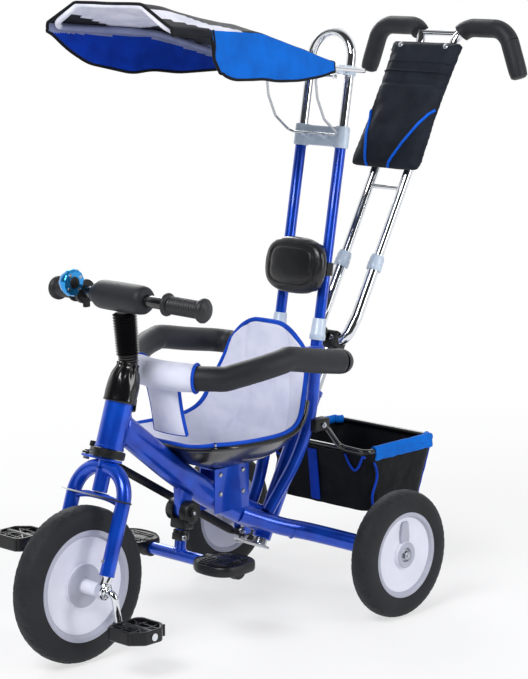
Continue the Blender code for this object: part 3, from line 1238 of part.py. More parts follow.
TIP = CANOPY_LENGTH + 0.023
SLOPE = [(0.0, 0.0), (0.090, 0.010), (0.134, 0.024), (0.286, 0.067), (CANOPY_LENGTH, 0.083), (TIP, 0.083)]
CRESCENT = [(0.0, 0.004), (0.09, 0.010), (0.13, 0.022), (0.23, 0.052), (0.33, 0.068), (CANOPY_LENGTH - 0.077, 0.055),
            (CANOPY_LENGTH - 0.037, 0.035), (CANOPY_LENGTH, 0.006), (TIP, 0.004)]
FLAP = [(0.0, 0.004), (0.095, 0.006), (0.130, 0.024), (0.190, 0.045), (0.250, 0.060), (0.300, 0.066),
        (FLAP_FRONT - 0.045, 0.068), (FLAP_FRONT - 0.015, 0.058), (FLAP_FRONT, 0.036), (FLAP_FRONT + 0.003, 0.004),
        (TIP, 0.004)]
CROWN = [(0.0, 0.004), (0.180, 0.004), (0.250, 0.007), (CANOPY_LENGTH - 0.152, 0.015), (CANOPY_LENGTH - 0.092, 0.022),
         (CANOPY_LENGTH - 0.032, CANOPY_CROWN - 0.0018), (TIP, CANOPY_CROWN - 0.0018)]


def curve_at(points, d):
    for (d0, v0), (d1, v1) in zip(points, points[1:]):
        if d <= d1:
            return v0 + (v1 - v0) * (d - d0) / (d1 - d0)
    return points[-1][1]


def hood_point(x, d, rise=0.0):
    """x from the middle, d forward of the hood's axis, rise above the bow."""
    return hood_pivot + Vector((x, -d, curve_at(SLOPE, d) + rise))


def side_at(d):
    """Half the bow's width at a distance forward of its axis."""
    return CANOPY_REAR_HALF + (CANOPY_FRONT_HALF - CANOPY_REAR_HALF) * min(max(d - 0.09, 0.0) / (CANOPY_LENGTH - 0.09), 1.0)


SHOULDER = 0.0725


def bow_line():
    """The wire bow: rear bar on the axis, side rods running forward and out, raised front hoop."""
    half = [hood_point(0.002, 0), hood_point(CANOPY_REAR_HALF, 0), hood_point(side_at(0.090), 0.090),
            hood_point(side_at(0.134), 0.134), hood_point(side_at(0.286), 0.286),
            hood_point(CANOPY_FRONT_HALF, CANOPY_LENGTH),
            hood_point(SHOULDER, CANOPY_LENGTH, CANOPY_CROWN)]
    return rounded(half + [Vector((-p.x, p.y, p.z)) for p in reversed(half)], 0.022, 3)


bow = bow_line()
bow_object = finish("canopy_bow", sweep(bow, circle(BOW_R, 6, pi / 6), UPRIGHT), CHROME, hood)

# Cloth hood over the bow: crowned top, a crescent down its right side and a flap down its left
HOOD_T = 0.003
HOOD_CLEAR = BOW_R + 0.0025
hood_rows = []
for d in (0.097, 0.130, 0.170, 0.220, 0.280, FLAP_FRONT - 0.060, FLAP_FRONT - 0.020, FLAP_FRONT, FLAP_FRONT + 0.004,
          CANOPY_LENGTH - 0.057, CANOPY_LENGTH - 0.029, CANOPY_LENGTH + 0.004):
    half = side_at(d) + HOOD_CLEAR
    crown = curve_at(CROWN, d)
    flap = curve_at(FLAP, d)
    crescent = curve_at(CRESCENT, d)
    row = [hood_point(half + 0.002, d, -flap), hood_point(half + 0.001, d, -flap / 2), hood_point(half, d, 0.007)]
    for a, b in ((0.80, 0.58), (SHOULDER / CANOPY_FRONT_HALF, 1.0), (0.27, 1.0), (0.0, 1.0)):
        row.append(hood_point(half * a, d, HOOD_CLEAR + crown * b))
    for a, b in ((-0.27, 1.0), (-SHOULDER / CANOPY_FRONT_HALF, 1.0), (-0.80, 0.58)):
        row.append(hood_point(half * a, d, HOOD_CLEAR + crown * b))
    row += [hood_point(-half, d, 0.007), hood_point(-half - 0.001, d, -crescent / 2),
            hood_point(-half - 0.002, d, -crescent)]
    hood_rows.append(row)
finish("canopy_hood", wall(hood_rows, HOOD_T, 0.0), BLUE_CLOTH, hood)

# Tabs under the bow's sides take the stay's upper ends
TAB_D = 0.086
tab_x = side_at(TAB_D)
tabs = bmesh.new()
TAB_DROP = 0.0135
for sign in (1, -1):
    block((0.0030, 0.009, 0.0190), hood_point(sign * tab_x, TAB_D, -0.0085), SIDE, UPRIGHT, bm=tabs)
weld(bow_object, tabs)
stay_top = hood_point(0, TAB_D, -TAB_DROP)
cut(bow_object, rod(stay_top - SIDE * 0.2, stay_top + SIDE * 0.2, STAY_WIRE_R + RUN, 8))

stay_axis = pivot("canopy_stay_axis", stay_top, hood)
STAY_HALF = 0.056


def stay_leg(sign):
    """From the tab down one leg of the wire to its foot."""
    top = stay_top + SIDE * sign * STAY_HALF
    foot = STAY_FOOT + SIDE * sign * STAY_HALF
    fall = foot - top
    return [top] + [top + Vector((0, fall.y * a, fall.z * b)) for a, b in ((0.09, 0.38), (0.38, 0.72))] + [foot]


left = [stay_top + SIDE * (tab_x + 0.0030)] + stay_leg(1)
wire_points = left + [Vector((-p.x, p.y, p.z)) for p in reversed(left)]
finish("canopy_stay", sweep(rounded(wire_points, 0.012, 3), circle(STAY_WIRE_R, 6, pi / 6), UPRIGHT),
       ZINC, stay_axis)
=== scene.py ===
"""A child's push tricycle: enamelled steel frame, foam tyres on moulded wheels, padded seat with a
guard rail, canopy, steering push handle with a bag, folding footrest and a rear basket.

Metres, +Z up, front towards -Y, the rider's left towards +X.
"""
from math import cos, exp, pi, radians, sin, sqrt, tan

import bmesh
import bpy
from mathutils import Matrix, Vector, noise
from mathutils.bvhtree import BVHTree


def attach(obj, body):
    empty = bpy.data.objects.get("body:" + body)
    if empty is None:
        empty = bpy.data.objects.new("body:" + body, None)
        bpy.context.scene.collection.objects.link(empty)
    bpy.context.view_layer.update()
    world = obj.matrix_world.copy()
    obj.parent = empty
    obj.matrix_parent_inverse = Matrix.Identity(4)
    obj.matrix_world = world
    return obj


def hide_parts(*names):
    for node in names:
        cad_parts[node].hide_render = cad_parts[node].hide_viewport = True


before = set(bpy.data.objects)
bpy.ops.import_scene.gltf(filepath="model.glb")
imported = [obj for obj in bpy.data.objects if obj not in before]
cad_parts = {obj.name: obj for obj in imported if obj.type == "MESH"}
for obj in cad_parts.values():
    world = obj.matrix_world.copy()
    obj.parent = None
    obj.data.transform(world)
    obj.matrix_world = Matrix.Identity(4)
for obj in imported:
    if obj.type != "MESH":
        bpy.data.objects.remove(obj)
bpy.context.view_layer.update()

# Camera
# A long lens in front of the tricycle's left side, a little above the canopy.
camera = bpy.data.objects.new("camera", bpy.data.cameras.new("camera"))
bpy.context.scene.collection.objects.link(camera)
camera.location = (2.65109, -2.760042, 1.16307)
view_line = Vector((-0.0555, 0.094428, 0.4511)) - camera.location
camera.rotation_mode = 'QUATERNION'
camera.rotation_quaternion = view_line.to_track_quat('-Z', 'Y')
camera.data.lens = 122.55
camera.data.sensor_width = 36
camera.data.clip_end = 60
bpy.context.scene.camera = camera


# Floor and studio light
# A pale paper floor, two big soft boxes and a bright room round them.
def linear(code):
    """An sRGB hex colour as linear red, green, blue and alpha."""
    parts = [int(code[i:i + 2], 16) / 255 for i in (1, 3, 5)]
    return tuple(c / 12.92 if c <= 0.04045 else ((c + 0.055) / 1.055) ** 2.4 for c in parts) + (1.0,)


def add(tree, kind, links=None, **settings):
    """Add a node with its settings; links maps its sockets to values or to other nodes' outputs."""
    made = tree.nodes.new('ShaderNode' + kind)
    for name, value in settings.items():
        setattr(made, name, value)
    for name, value in (links or {}).items():
        if isinstance(value, bpy.types.NodeSocket):
            tree.links.new(value, made.inputs[name])
        else:
            made.inputs[name].default_value = value
    return made


def new_finish(name, colour, roughness, metallic=0.0, **sockets):
    """A material with one shader: returns the material, its tree, its shader and the place in metres."""
    mat = bpy.data.materials.new(name)
    mat.use_nodes = True
    tree = mat.node_tree
    shader = tree.nodes["Principled BSDF"]
    shader.inputs["Base Color"].default_value = linear(colour)
    shader.inputs["Roughness"].default_value = roughness
    shader.inputs["Metallic"].default_value = metallic
    for socket, value in sockets.items():
        shader.inputs[socket.replace("_", " ")].default_value = value
    place = add(tree, 'TexCoord').outputs["Object"]
    return mat, tree, shader, place


paper, tree, shader, place = new_finish("floor_paper", "#F4F4F5", 0.85)
grain = add(tree, 'TexNoise', {"Vector": place, "Scale": 90.0, "Detail": 3.0})
bump = add(tree, 'Bump', {"Strength": 0.02, "Distance": 0.001, "Height": grain.outputs["Fac"]})
tree.links.new(bump.outputs["Normal"], shader.inputs["Normal"])
# Seen directly or in a reflection the paper carries the backdrop's white and keeps the shadow; it goes fully white
# away from the tricycle, so that no horizon shows.
ray = add(tree, 'LightPath')
mirror = add(tree, 'Math', {0: ray.outputs["Is Glossy Ray"], 1: ray.outputs["Is Transmission Ray"]},
             operation='MAXIMUM')
seen_by = add(tree, 'Math', {0: ray.outputs["Is Camera Ray"], 1: mirror.outputs[0]}, operation='MAXIMUM')
far_off = add(tree, 'VectorMath', {0: place}, operation='LENGTH')
share = add(tree, 'MapRange', {"Value": far_off.outputs["Value"], "From Min": 0.55, "From Max": 1.9,
                               "To Min": 0.62, "To Max": 1.0})
mixed = add(tree, 'Math', {0: seen_by.outputs[0], 1: share.outputs["Result"]}, operation='MULTIPLY')
white = add(tree, 'Emission', {"Color": linear("#FFFFFF"), "Strength": 1.0})
blend_in = add(tree, 'MixShader', {0: mixed.outputs[0], 1: shader.outputs[0], 2: white.outputs[0]})
tree.links.new(blend_in.outputs[0], tree.nodes["Material Output"].inputs["Surface"])
bm = bmesh.new()
rows = [[bm.verts.new((x * 1.5, y * 1.5, -0.0004)) for x in range(-8, 9)] for y in range(-8, 9)]
for a, b in zip(rows, rows[1:]):
    for i in range(16):
        bm.faces.new((a[i], a[i + 1], b[i + 1], b[i]))
floor_mesh = bpy.data.meshes.new("floor")
bm.to_mesh(floor_mesh)
bm.free()
floor_mesh.materials.append(paper)
floor = bpy.data.objects.new("floor", floor_mesh)
bpy.context.scene.collection.objects.link(floor)

bpy.context.scene.view_settings.view_transform = 'Standard'
world = bpy.data.worlds.new("studio")
bpy.context.scene.world = world
world.use_nodes = True
tree = world.node_tree
tree.nodes.clear()
direction = add(tree, 'TexCoord').outputs["Generated"]
split = add(tree, 'SeparateXYZ', {"Vector": direction})
height = add(tree, 'MapRange', {"Value": split.outputs["Z"], "From Min": -0.15, "From Max": 0.85,
                                "To Min": 0.86, "To Max": 0.30})
across = add(tree, 'MapRange', {"Value": split.outputs["X"], "From Min": -1.0, "From Max": 1.0,
                                "To Min": 0.45, "To Max": 1.10})
level = add(tree, 'Math', {0: height.outputs["Result"], 1: across.outputs["Result"]}, operation='MULTIPLY')
ray = add(tree, 'LightPath')
mirror = add(tree, 'Math', {0: ray.outputs["Is Glossy Ray"], 1: ray.outputs["Is Transmission Ray"]},
             operation='MAXIMUM')
seen_by = add(tree, 'Math', {0: ray.outputs["Is Camera Ray"], 1: mirror.outputs[0]}, operation='MAXIMUM')
# What metal mirrors: the white backdrop behind the tricycle and the dark room in front of it
behind = add(tree, 'VectorMath', {0: direction, 1: (-0.69, 0.72, 0.0)}, operation='DOT_PRODUCT')
dark_room = add(tree, 'MapRange', {"Value": behind.outputs["Value"], "From Min": -0.10, "From Max": 0.42,
                                   "To Min": 0.05, "To Max": 1.0})
mirrored = add(tree, 'Mix', {0: ray.outputs["Is Camera Ray"], 2: dark_room.outputs["Result"], 3: 1.0})
room = add(tree, 'Background', {"Color": linear("#F7F9FF"), "Strength": level.outputs[0]})
backdrop = add(tree, 'Background', {"Color": linear("#FFFFFF"), "Strength": mirrored.outputs[0]})
seen = add(tree, 'MixShader', {0: seen_by.outputs[0], 1: room.outputs[0], 2: backdrop.outputs[0]})
add(tree, 'OutputWorld', {"Surface": seen.outputs[0]})


def soft_box(name, place, size, power, aim=(0.0, 0.0, 0.45)):
    lamp = bpy.data.lights.new(name, 'AREA')
    lamp.shape = 'RECTANGLE'
    lamp.size, lamp.size_y = size
    lamp.energy = power
    box = bpy.data.objects.new(name, lamp)
    box.location = place
    box.rotation_mode = 'QUATERNION'
    box.rotation_quaternion = (Vector(aim) - box.location).to_track_quat('-Z', 'Y')
    bpy.context.scene.collection.objects.link(box)


soft_box("key_box", (0.6, -2.6, 2.9), (1.6, 1.2), 92)
soft_box("side_box", (2.9, 0.9, 1.6), (0.7, 2.2), 38)
soft_box("back_box", (-2.4, 1.6, 2.2), (1.2, 1.6), 42)

# Main frame
# Steel tubes, about 1.2 mm in the wall, bent and welded, then coated in a candy blue enamel.
AXLE_Y = 0.147028
HEAD_ANGLE = radians(18.3)
HANDLE_LEAN = radians(29)
POLE_LEAN = radians(10)
SIDE = Vector((1, 0, 0))
UP = Vector((0, 0, 1))
HEAD_DIR = Vector((0, sin(HEAD_ANGLE), cos(HEAD_ANGLE)))
HEAD_FWD = Vector((0, -cos(HEAD_ANGLE), sin(HEAD_ANGLE)))
HANDLE_DIR = Vector((0, sin(HANDLE_LEAN), cos(HANDLE_LEAN)))
HANDLE_FWD = Vector((0, -cos(HANDLE_LEAN), sin(HANDLE_LEAN)))
POLE_DIR = Vector((0, sin(POLE_LEAN), cos(POLE_LEAN)))
POLE_FWD = Vector((0, -cos(POLE_LEAN), sin(POLE_LEAN)))


def at(x, y, z):
    """A point given from the rear axle's line on the floor."""
    return Vector((x, y + AXLE_Y, z))


FRONT_AXLE = at(0, -0.539, 0.127)


def head(s, x=0.0, f=0.0):
    """A point s up the steering axis from the front axle, x to the left and f forward."""
    return FRONT_AXLE + HEAD_DIR * s + SIDE * x + HEAD_FWD * f


def grip_line(s, x=0.0, f=0.0):
    """A point s up the push handle's axis."""
    return at(0, -0.1187, 0.120) + HANDLE_DIR * s + SIDE * x + HANDLE_FWD * f


def pole(s, x=0.0, f=0.0):
    """A point s up the canopy poles from their foot."""
    return at(0, -0.0265, 0.4660) + POLE_DIR * s + SIDE * x + POLE_FWD * f


def circle(radius, sides=24):
    return [(radius * cos(2 * pi * i / sides), radius * sin(2 * pi * i / sides)) for i in range(sides)]


def oval(width, height, sides=32):
    return [(width / 2 * cos(2 * pi * i / sides), height / 2 * sin(2 * pi * i / sides)) for i in range(sides)]


def skin(bm, rings, finish=0, around=True):
    """Faces between rings of vertices."""
    for a, b in zip(rings, rings[1:]):
        n = len(a)
        for i in range(n if around else n - 1):
            face = bm.faces.new((a[i], a[(i + 1) % n], b[(i + 1) % n], b[i]))
            face.material_index = finish


def sweep(bm, path, section, finish=0, side=SIDE, scales=None, caps=True):
    """A section carried along a path. Its first axis starts along side."""
    rings = []
    u = Vector(side)
    for i, point in enumerate(path):
        tangent = (path[min(i + 1, len(path) - 1)] - path[max(i - 1, 0)]).normalized()
        u = (u - tangent * u.dot(tangent)).normalized()
        v = tangent.cross(u)
        k = scales[i] if scales else 1.0
        rings.append([bm.verts.new(point + u * a * k + v * b * k) for a, b in section])
    skin(bm, rings, finish)
    if caps:
        for end in (rings[0], rings[-1]):
            bm.faces.new(end).material_index = finish
    return rings


def tube(bm, path, radius, finish=0, sides=24, scales=None, caps=True):
    first = (path[1] - path[0]).normalized()
    side = SIDE if abs(first.dot(SIDE)) < 0.8 else Vector((0, 1, 0))
    return sweep(bm, path, circle(radius, sides), finish, side, scales, caps)


def catmull(points, t):
    """A smooth curve through a list of points, t from 0 to 1."""
    n = len(points) - 1
    k = min(int(t * n), n - 1)
    f = t * n - k
    p = [points[max(k - 1, 0)], points[k], points[k + 1], points[min(k + 2, n)]]
    return (p[1] * 2 + (p[2] - p[0]) * f + (p[0] * 2 - p[1] * 5 + p[2] * 4 - p[3]) * f * f
            + (p[1] * 3 - p[0] - p[2] * 3 + p[3]) * f * f * f) * 0.5


def smooth(points, count):
    return [catmull(points, i / count) for i in range(count + 1)]


def rounded(points, radius, steps=8):
    """Straight lines whose corners are arcs."""
    path = [points[0]]
    for a, b, c in zip(points, points[1:], points[2:]):
        back = (a - b).normalized()
        ahead = (c - b).normalized()
        angle = back.angle(ahead)
        if angle > pi - 0.02:
            path.append(b)
            continue
        trim = min(radius / tan(angle / 2), 0.49 * (a - b).length, 0.49 * (c - b).length)
        r = trim * tan(angle / 2)
        middle = b + (back + ahead).normalized() * (r / sin(angle / 2))
        start = b + back * trim - middle
        axis = start.cross(b + ahead * trim - middle).normalized()
        for i in range(steps + 1):
            path.append(middle + Matrix.Rotation((pi - angle) * i / steps, 3, axis) @ start)
    path.append(points[-1])
    return path


def turned(bm, profile, origin, axis, finish=0, sides=40, ring=False, wave=None):
    """Points (distance along the axis, radius[, finish]) turned about it; wave changes a radius by angle."""
    axis = Vector(axis).normalized()
    side = SIDE if abs(axis.dot(SIDE)) < 0.8 else UP
    u = (side - axis * side.dot(axis)).normalized()
    v = axis.cross(u)
    rings = []
    kinds = []
    for point in profile:
        s, r = point[0], point[1]
        kinds.append(point[2] if len(point) > 2 else finish)
        ring_of = []
        for i in range(sides):
            t = 2 * pi * i / sides
            k = r + (wave(s, t) if wave else 0.0)
            ring_of.append(bm.verts.new(origin + axis * s + u * k * cos(t) + v * k * sin(t)))
        rings.append(ring_of)
    for a, b, kind in zip(rings, rings[1:], kinds[1:]):
        skin(bm, [a, b], kind)
    if ring:
        skin(bm, [rings[-1], rings[0]], kinds[0])
    else:
        for end, kind in ((rings[0], kinds[0]), (rings[-1], kinds[-1])):
            bm.faces.new(end).material_index = kind
    return rings


def rod(bm, start, end, radius, finish=0, sides=32, soft=0.0006):
    """A round bar with softened ends."""
    length = (end - start).length
    profile = [(0, radius - soft), (soft, radius), (length - soft, radius), (length, radius - soft)]
    return turned(bm, profile, start, end - start, finish, sides)


def put(bm, own, finish):
    """Put another bmesh's faces into this one with a finish."""
    copies = {v: bm.verts.new(v.co) for v in own.verts}
    for face in own.faces:
        bm.faces.new([copies[v] for v in face.verts]).material_index = finish
    own.free()


def block(bm, size, centre, u=SIDE, n=UP, soft=0.001, finish=0, steps=3):
    """A box whose first axis is u and third is n, with bevelled edges."""
    own = bmesh.new()
    bmesh.ops.create_cube(own, size=1.0)
    bmesh.ops.scale(own, vec=size, verts=own.verts[:])
    bmesh.ops.bevel(own, geom=own.edges[:], offset=soft, segments=steps, profile=0.5, affect='EDGES')
    u = Vector(u).normalized()
    n = Vector(n).normalized()
    spin = Matrix((u, n.cross(u), n)).transposed().to_4x4()
    bmesh.ops.transform(own, matrix=Matrix.Translation(centre) @ spin, verts=own.verts[:])
    put(bm, own, finish)


def plate(bm, outline, thickness, origin, u, v, finish=0, soft=0.0):
    """A flat plate: an outline of (a, b) points along u and v, thickened equally both ways."""
    own = bmesh.new()
    u = Vector(u).normalized()
    v = Vector(v).normalized()
    n = u.cross(v) * thickness / 2
    rings = [[own.verts.new(origin + u * a + v * b + n * k) for a, b in outline] for k in (-1, 1)]
    skin(own, rings)
    own.faces.new(rings[0])
    own.faces.new(rings[1])
    if soft:
        edges = [e for e in own.edges if any(len(f.verts) > 4 for f in e.link_faces)]
        bmesh.ops.bevel(own, geom=edges, offset=soft, segments=2, profile=0.5, affect='EDGES')
    put(bm, own, finish)


def piece(name, bm, finishes, body, nodes=(), sharp=38):
    """Make the object, let it ride on its body and stand for the solids it takes the place of."""
    bmesh.ops.recalc_face_normals(bm, faces=bm.faces[:])
    mesh = bpy.data.meshes.new(name)
    bm.to_mesh(mesh)
    bm.free()
    mesh.shade_smooth()
    mesh.set_sharp_from_angle(angle=radians(sharp))
    for mat in finishes:
        mesh.materials.append(mat)
    obj = bpy.data.objects.new(name, mesh)
    bpy.context.scene.collection.objects.link(obj)
    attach(obj, body)
    if nodes:
        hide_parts(*nodes)
    return obj


# Candy enamel: a clear blue over fine metal flake, so it glows in the light and deepens at grazing angles.
enamel, tree, shader, place = new_finish("candy_blue_enamel", "#004ACA", 0.28, 0.50,
                                         Coat_Weight=0.55, Coat_Roughness=0.04, Coat_IOR=1.5)
flake = add(tree, 'TexVoronoi', {"Vector": place, "Scale": 1400.0})      # flakes of about 0.7 mm, drawn coarse
drift = add(tree, 'TexNoise', {"Vector": place, "Scale": 26.0, "Detail": 2.0})
tone = add(tree, 'ValToRGB', {"Fac": drift.outputs["Fac"]})
tone.color_ramp.elements[0].position = 0.3
tone.color_ramp.elements[0].color = linear("#0038AE")
tone.color_ramp.elements[1].position = 0.75
tone.color_ramp.elements[1].color = linear("#0050D2")
tree.links.new(tone.outputs["Color"], shader.inputs["Base Color"])
orange_peel = add(tree, 'TexNoise', {"Vector": place, "Scale": 160.0, "Detail": 1.0})
peel_bump = add(tree, 'Bump', {"Strength": 0.05, "Distance": 0.0006, "Height": orange_peel.outputs["Fac"]})
tree.links.new(peel_bump.outputs["Normal"], shader.inputs["Coat Normal"])
flake_bump = add(tree, 'Bump', {"Strength": 0.10, "Distance": 0.0003, "Height": flake.outputs["Distance"]})
tree.links.new(flake_bump.outputs["Normal"], shader.inputs["Normal"])

# Bright zinc on the bolts and pins: pale grey with a soft bloom.
zinc, tree, shader, place = new_finish("zinc_plated_steel", "#B9BDC4", 0.26, 1.0)
bloom = add(tree, 'TexNoise', {"Vector": place, "Scale": 300.0, "Detail": 4.0})
rough = add(tree, 'MapRange', {"Value": bloom.outputs["Fac"], "To Min": 0.18, "To Max": 0.40})
tree.links.new(rough.outputs["Result"], shader.inputs["Roughness"])


def bead(bm, start, direction, section, axis_point, axis_dir, radius, finish=0):
    """A weld bead where a tube's section meets a round tube."""
    u = (SIDE - direction * SIDE.dot(direction)).normalized()
    v = direction.cross(u)
    line = []
    for a, b in section:
        p = start + u * a + v * b
        gap = p - axis_point
        flat = gap - axis_dir * gap.dot(axis_dir)
        run = direction - axis_dir * direction.dot(axis_dir)
        k2, k1, k0 = run.dot(run), 2 * flat.dot(run), flat.dot(flat) - radius * radius
        root = k1 * k1 - 4 * k2 * k0
        if root < 0:
            continue
        line.append(p + direction * ((-k1 + sqrt(root)) / (2 * k2)))
    if len(line) > 6:
        line += line[:2]
        scales = [1.0 + 0.22 * sin(i * 1.9) for i in range(len(line))]
        tube(bm, line, 0.0021, finish, 8, scales, caps=False)


bm = bmesh.new()
LIP = 0.0008
turned(bm, [(0, 0.0225), (0.0006, 0.0230 + LIP), (0.004, 0.0230 + LIP), (0.005, 0.0230), (0.081, 0.0230),
            (0.082, 0.0230 + LIP), (0.0854, 0.0230 + LIP), (0.086, 0.0225)], head(0.2195), HEAD_DIR, 0, 56)
main_line = [at(0, *p) for p in ((-0.446, 0.3715), (-0.430, 0.357), (-0.381, 0.318), (-0.331, 0.279),
                                 (-0.266, 0.234), (-0.219, 0.2065), (-0.170, 0.180), (-0.110, 0.150))]
main_path = smooth(main_line, 60)
sweep(bm, main_path, oval(0.036, 0.046, 44))
rod(bm, grip_line(0), grip_line(0.275), 0.0165, 0, 40, 0.001)
turned(bm, [(0, 0.0166), (0.0008, 0.0174), (0.008, 0.0174), (0.0088, 0.0166)], grip_line(0.266), HANDLE_DIR, 0, 40)
STAY_END = 0.209 - 0.020 - 0.012
for sign in (1, -1):
    stay = [at(sign * 0.006, -0.176, 0.176), at(sign * 0.036, -0.110, 0.147), at(sign * 0.062, -0.066, 0.133),
            at(sign * 0.108, -0.026, 0.1185), at(sign * (STAY_END - 0.03), -0.002, 0.109),
            at(sign * STAY_END, 0, 0.109)]
    tube(bm, smooth(stay, 40), 0.0155, 0, 36)
    turned(bm, [(0, 0.0152), (0.0005, 0.0161), (0.0065, 0.0161), (0.0070, 0.0152)],
           at(sign * (STAY_END - 0.007), 0, 0.109), SIDE * sign, 0, 36)
    post = [at(sign * 0.0215, -0.124, 0.172), at(sign * 0.0265, -0.100, 0.206), at(sign * 0.036, -0.074, 0.250),
            at(sign * 0.0435, -0.054, 0.300), at(sign * 0.0455, -0.040, 0.350), at(sign * 0.0455, -0.033, 0.405)]
    tube(bm, smooth(post, 30) + [pole(-0.030, sign * 0.0455), pole(-0.0025, sign * 0.0455)], 0.0105, 0, 28)
    block(bm, (0.014, 0.050, 0.028), at(sign * 0.057, -0.054, 0.440), soft=0.003)
    for side in (-1, 1):
        block(bm, (0.0025, 0.016, 0.0255), at(sign * (STAY_END - 0.022) + side * 0.0125, -0.004, 0.0920), soft=0.0008)
    collar = at(sign * 0.046, -0.089, 0.1385)
    out = (at(sign * 0.062, -0.066, 0.133) - at(sign * 0.036, -0.110, 0.147)).normalized()
    turned(bm, [(-0.002, 0.0156), (-0.001, 0.0168), (0.0012, 0.0168), (0.0022, 0.0156)], collar, out, 0, 36)
# The folded channel under the seat, its corners rolled over
channel = [(-0.0183, 0.190), (-0.0183, 0.2655), (-0.0173, 0.2665), (0.0173, 0.2665), (0.0183, 0.2655), (0.0183, 0.190),
           (0.0158, 0.190), (0.0158, 0.2640), (-0.0158, 0.2640), (-0.0158, 0.190)]
plate(bm, channel, 0.082, at(0, -0.208, 0), SIDE, UP, 0, 0.0006)
for y, z in ((-0.236, 0.255), (-0.182, 0.255), (-0.236, 0.222), (-0.182, 0.218)):
    for sign in (1, -1):
        turned(bm, [(0, 0.0046), (0.0016, 0.0044), (0.0030, 0.0030), (0.0034, 0.0012)], at(sign * 0.0182, y, z),
               SIDE * sign, 1, 6)
lug = [(0.0125 * cos(radians(a)), 0.0125 * sin(radians(a))) for a in range(180, 361, 12)]
plate(bm, lug + [(0.0155, 0.042), (-0.0155, 0.050)], 0.015, at(0, -0.306, 0.2040), Vector((0, 1, 0)), UP, 0, 0.001)
tube_dir = (main_path[0] - main_path[6]).normalized()
bead(bm, main_path[6], -tube_dir, oval(0.036, 0.046, 44), head(0), HEAD_DIR, 0.0232)
piece("frame_tubes", bm, [enamel, zinc], "frame", ["main_frame"])

# Head race, boot and bellows
# Moulded black plastic ring under the head tube; a soft gloss PVC boot gathered over its top, with a
# rear flap; above it a bellows over the stem. All push on.
abs_black, tree, shader, place = new_finish("black_moulded_plastic", "#0E0F12", 0.40, Specular_IOR_Level=0.4)
spark = add(tree, 'TexNoise', {"Vector": place, "Scale": 900.0, "Detail": 2.0})
spark_bump = add(tree, 'Bump', {"Strength": 0.18, "Distance": 0.0003, "Height": spark.outputs["Fac"]})
tree.links.new(spark_bump.outputs["Normal"], shader.inputs["Normal"])
rub = add(tree, 'TexNoise', {"Vector": place, "Scale": 45.0, "Detail": 4.0})
rubbed = add(tree, 'MapRange', {"Value": rub.outputs["Fac"], "From Min": 0.3, "From Max": 0.8, "To Min": 0.34,
                                "To Max": 0.52})
tree.links.new(rubbed.outputs["Result"], shader.inputs["Roughness"])

pvc_black, tree, shader, place = new_finish("gloss_black_pvc", "#0C0C0E", 0.16, Specular_IOR_Level=0.55)
ripple = add(tree, 'TexNoise', {"Vector": place, "Scale": 55.0, "Detail": 2.0})
ripple_bump = add(tree, 'Bump', {"Strength": 0.25, "Distance": 0.0012, "Height": ripple.outputs["Fac"]})
tree.links.new(ripple_bump.outputs["Normal"], shader.inputs["Normal"])

bm = bmesh.new()
turned(bm, [(-0.0143, 0.0135), (-0.0143, 0.0252), (-0.0135, 0.0262), (-0.0095, 0.0264), (-0.0090, 0.0256),
            (-0.0062, 0.0256), (-0.0057, 0.0264), (-0.0012, 0.0264), (-0.0004, 0.0252), (-0.0004, 0.0135)],
       head(0.2195), HEAD_DIR, 0, 48, ring=True)
block(bm, (0.010, 0.016, 0.0125), head(0.2120, 0.0, -0.0275), SIDE, HEAD_DIR, 0.002)
turned(bm, [(0, 0.0066), (0.002, 0.0072), (0.010, 0.0072), (0.012, 0.0060)], head(0.2060, -0.0275), HEAD_DIR, 0, 6)
piece("head_race_ring", bm, [abs_black], "frame", ["head_race"])


def boot_pleat(s, t):
    """Gathers at the neck that fade out downwards."""
    pull = min(max((s - 0.326) / 0.022, 0.0), 1.0)
    return 0.0011 * pull * cos(11 * t) + 0.0004 * sin(3 * t + s * 90)


bm = bmesh.new()
turned(bm, [(0.296, 0.0237), (0.2955, 0.0262), (0.2975, 0.0270), (0.300, 0.0263), (0.312, 0.0266), (0.324, 0.0262),
            (0.332, 0.0252), (0.340, 0.0234), (0.346, 0.0208), (0.351, 0.0180), (0.355, 0.0168), (0.3585, 0.0176),
            (0.3600, 0.0168), (0.3585, 0.0140)], head(0), HEAD_DIR, 0, 66, ring=True, wave=boot_pleat)
flap = [[], []]
for i in range(9):
    t = radians(180 - 52 + 104 * i / 8)
    for k, (s, r) in enumerate(((0.306, 0.0268), (0.284, 0.0285))):
        drop = 0.0 if k == 0 else 0.004 * abs(i - 4) / 4
        flap[k].append(bm.verts.new(head(s + drop, r * sin(t), r * cos(t))))
lower = [[bm.verts.new(v.co + HEAD_FWD * 0.0014) for v in row] for row in flap]
skin(bm, flap, 0, around=False)
skin(bm, lower, 0, around=False)
rim = flap[0] + flap[1][::-1]
rim_in = lower[0] + lower[1][::-1]
skin(bm, [rim, rim_in], 0)
piece("head_boot_cover", bm, [pvc_black], "frame", ["head_boot"])

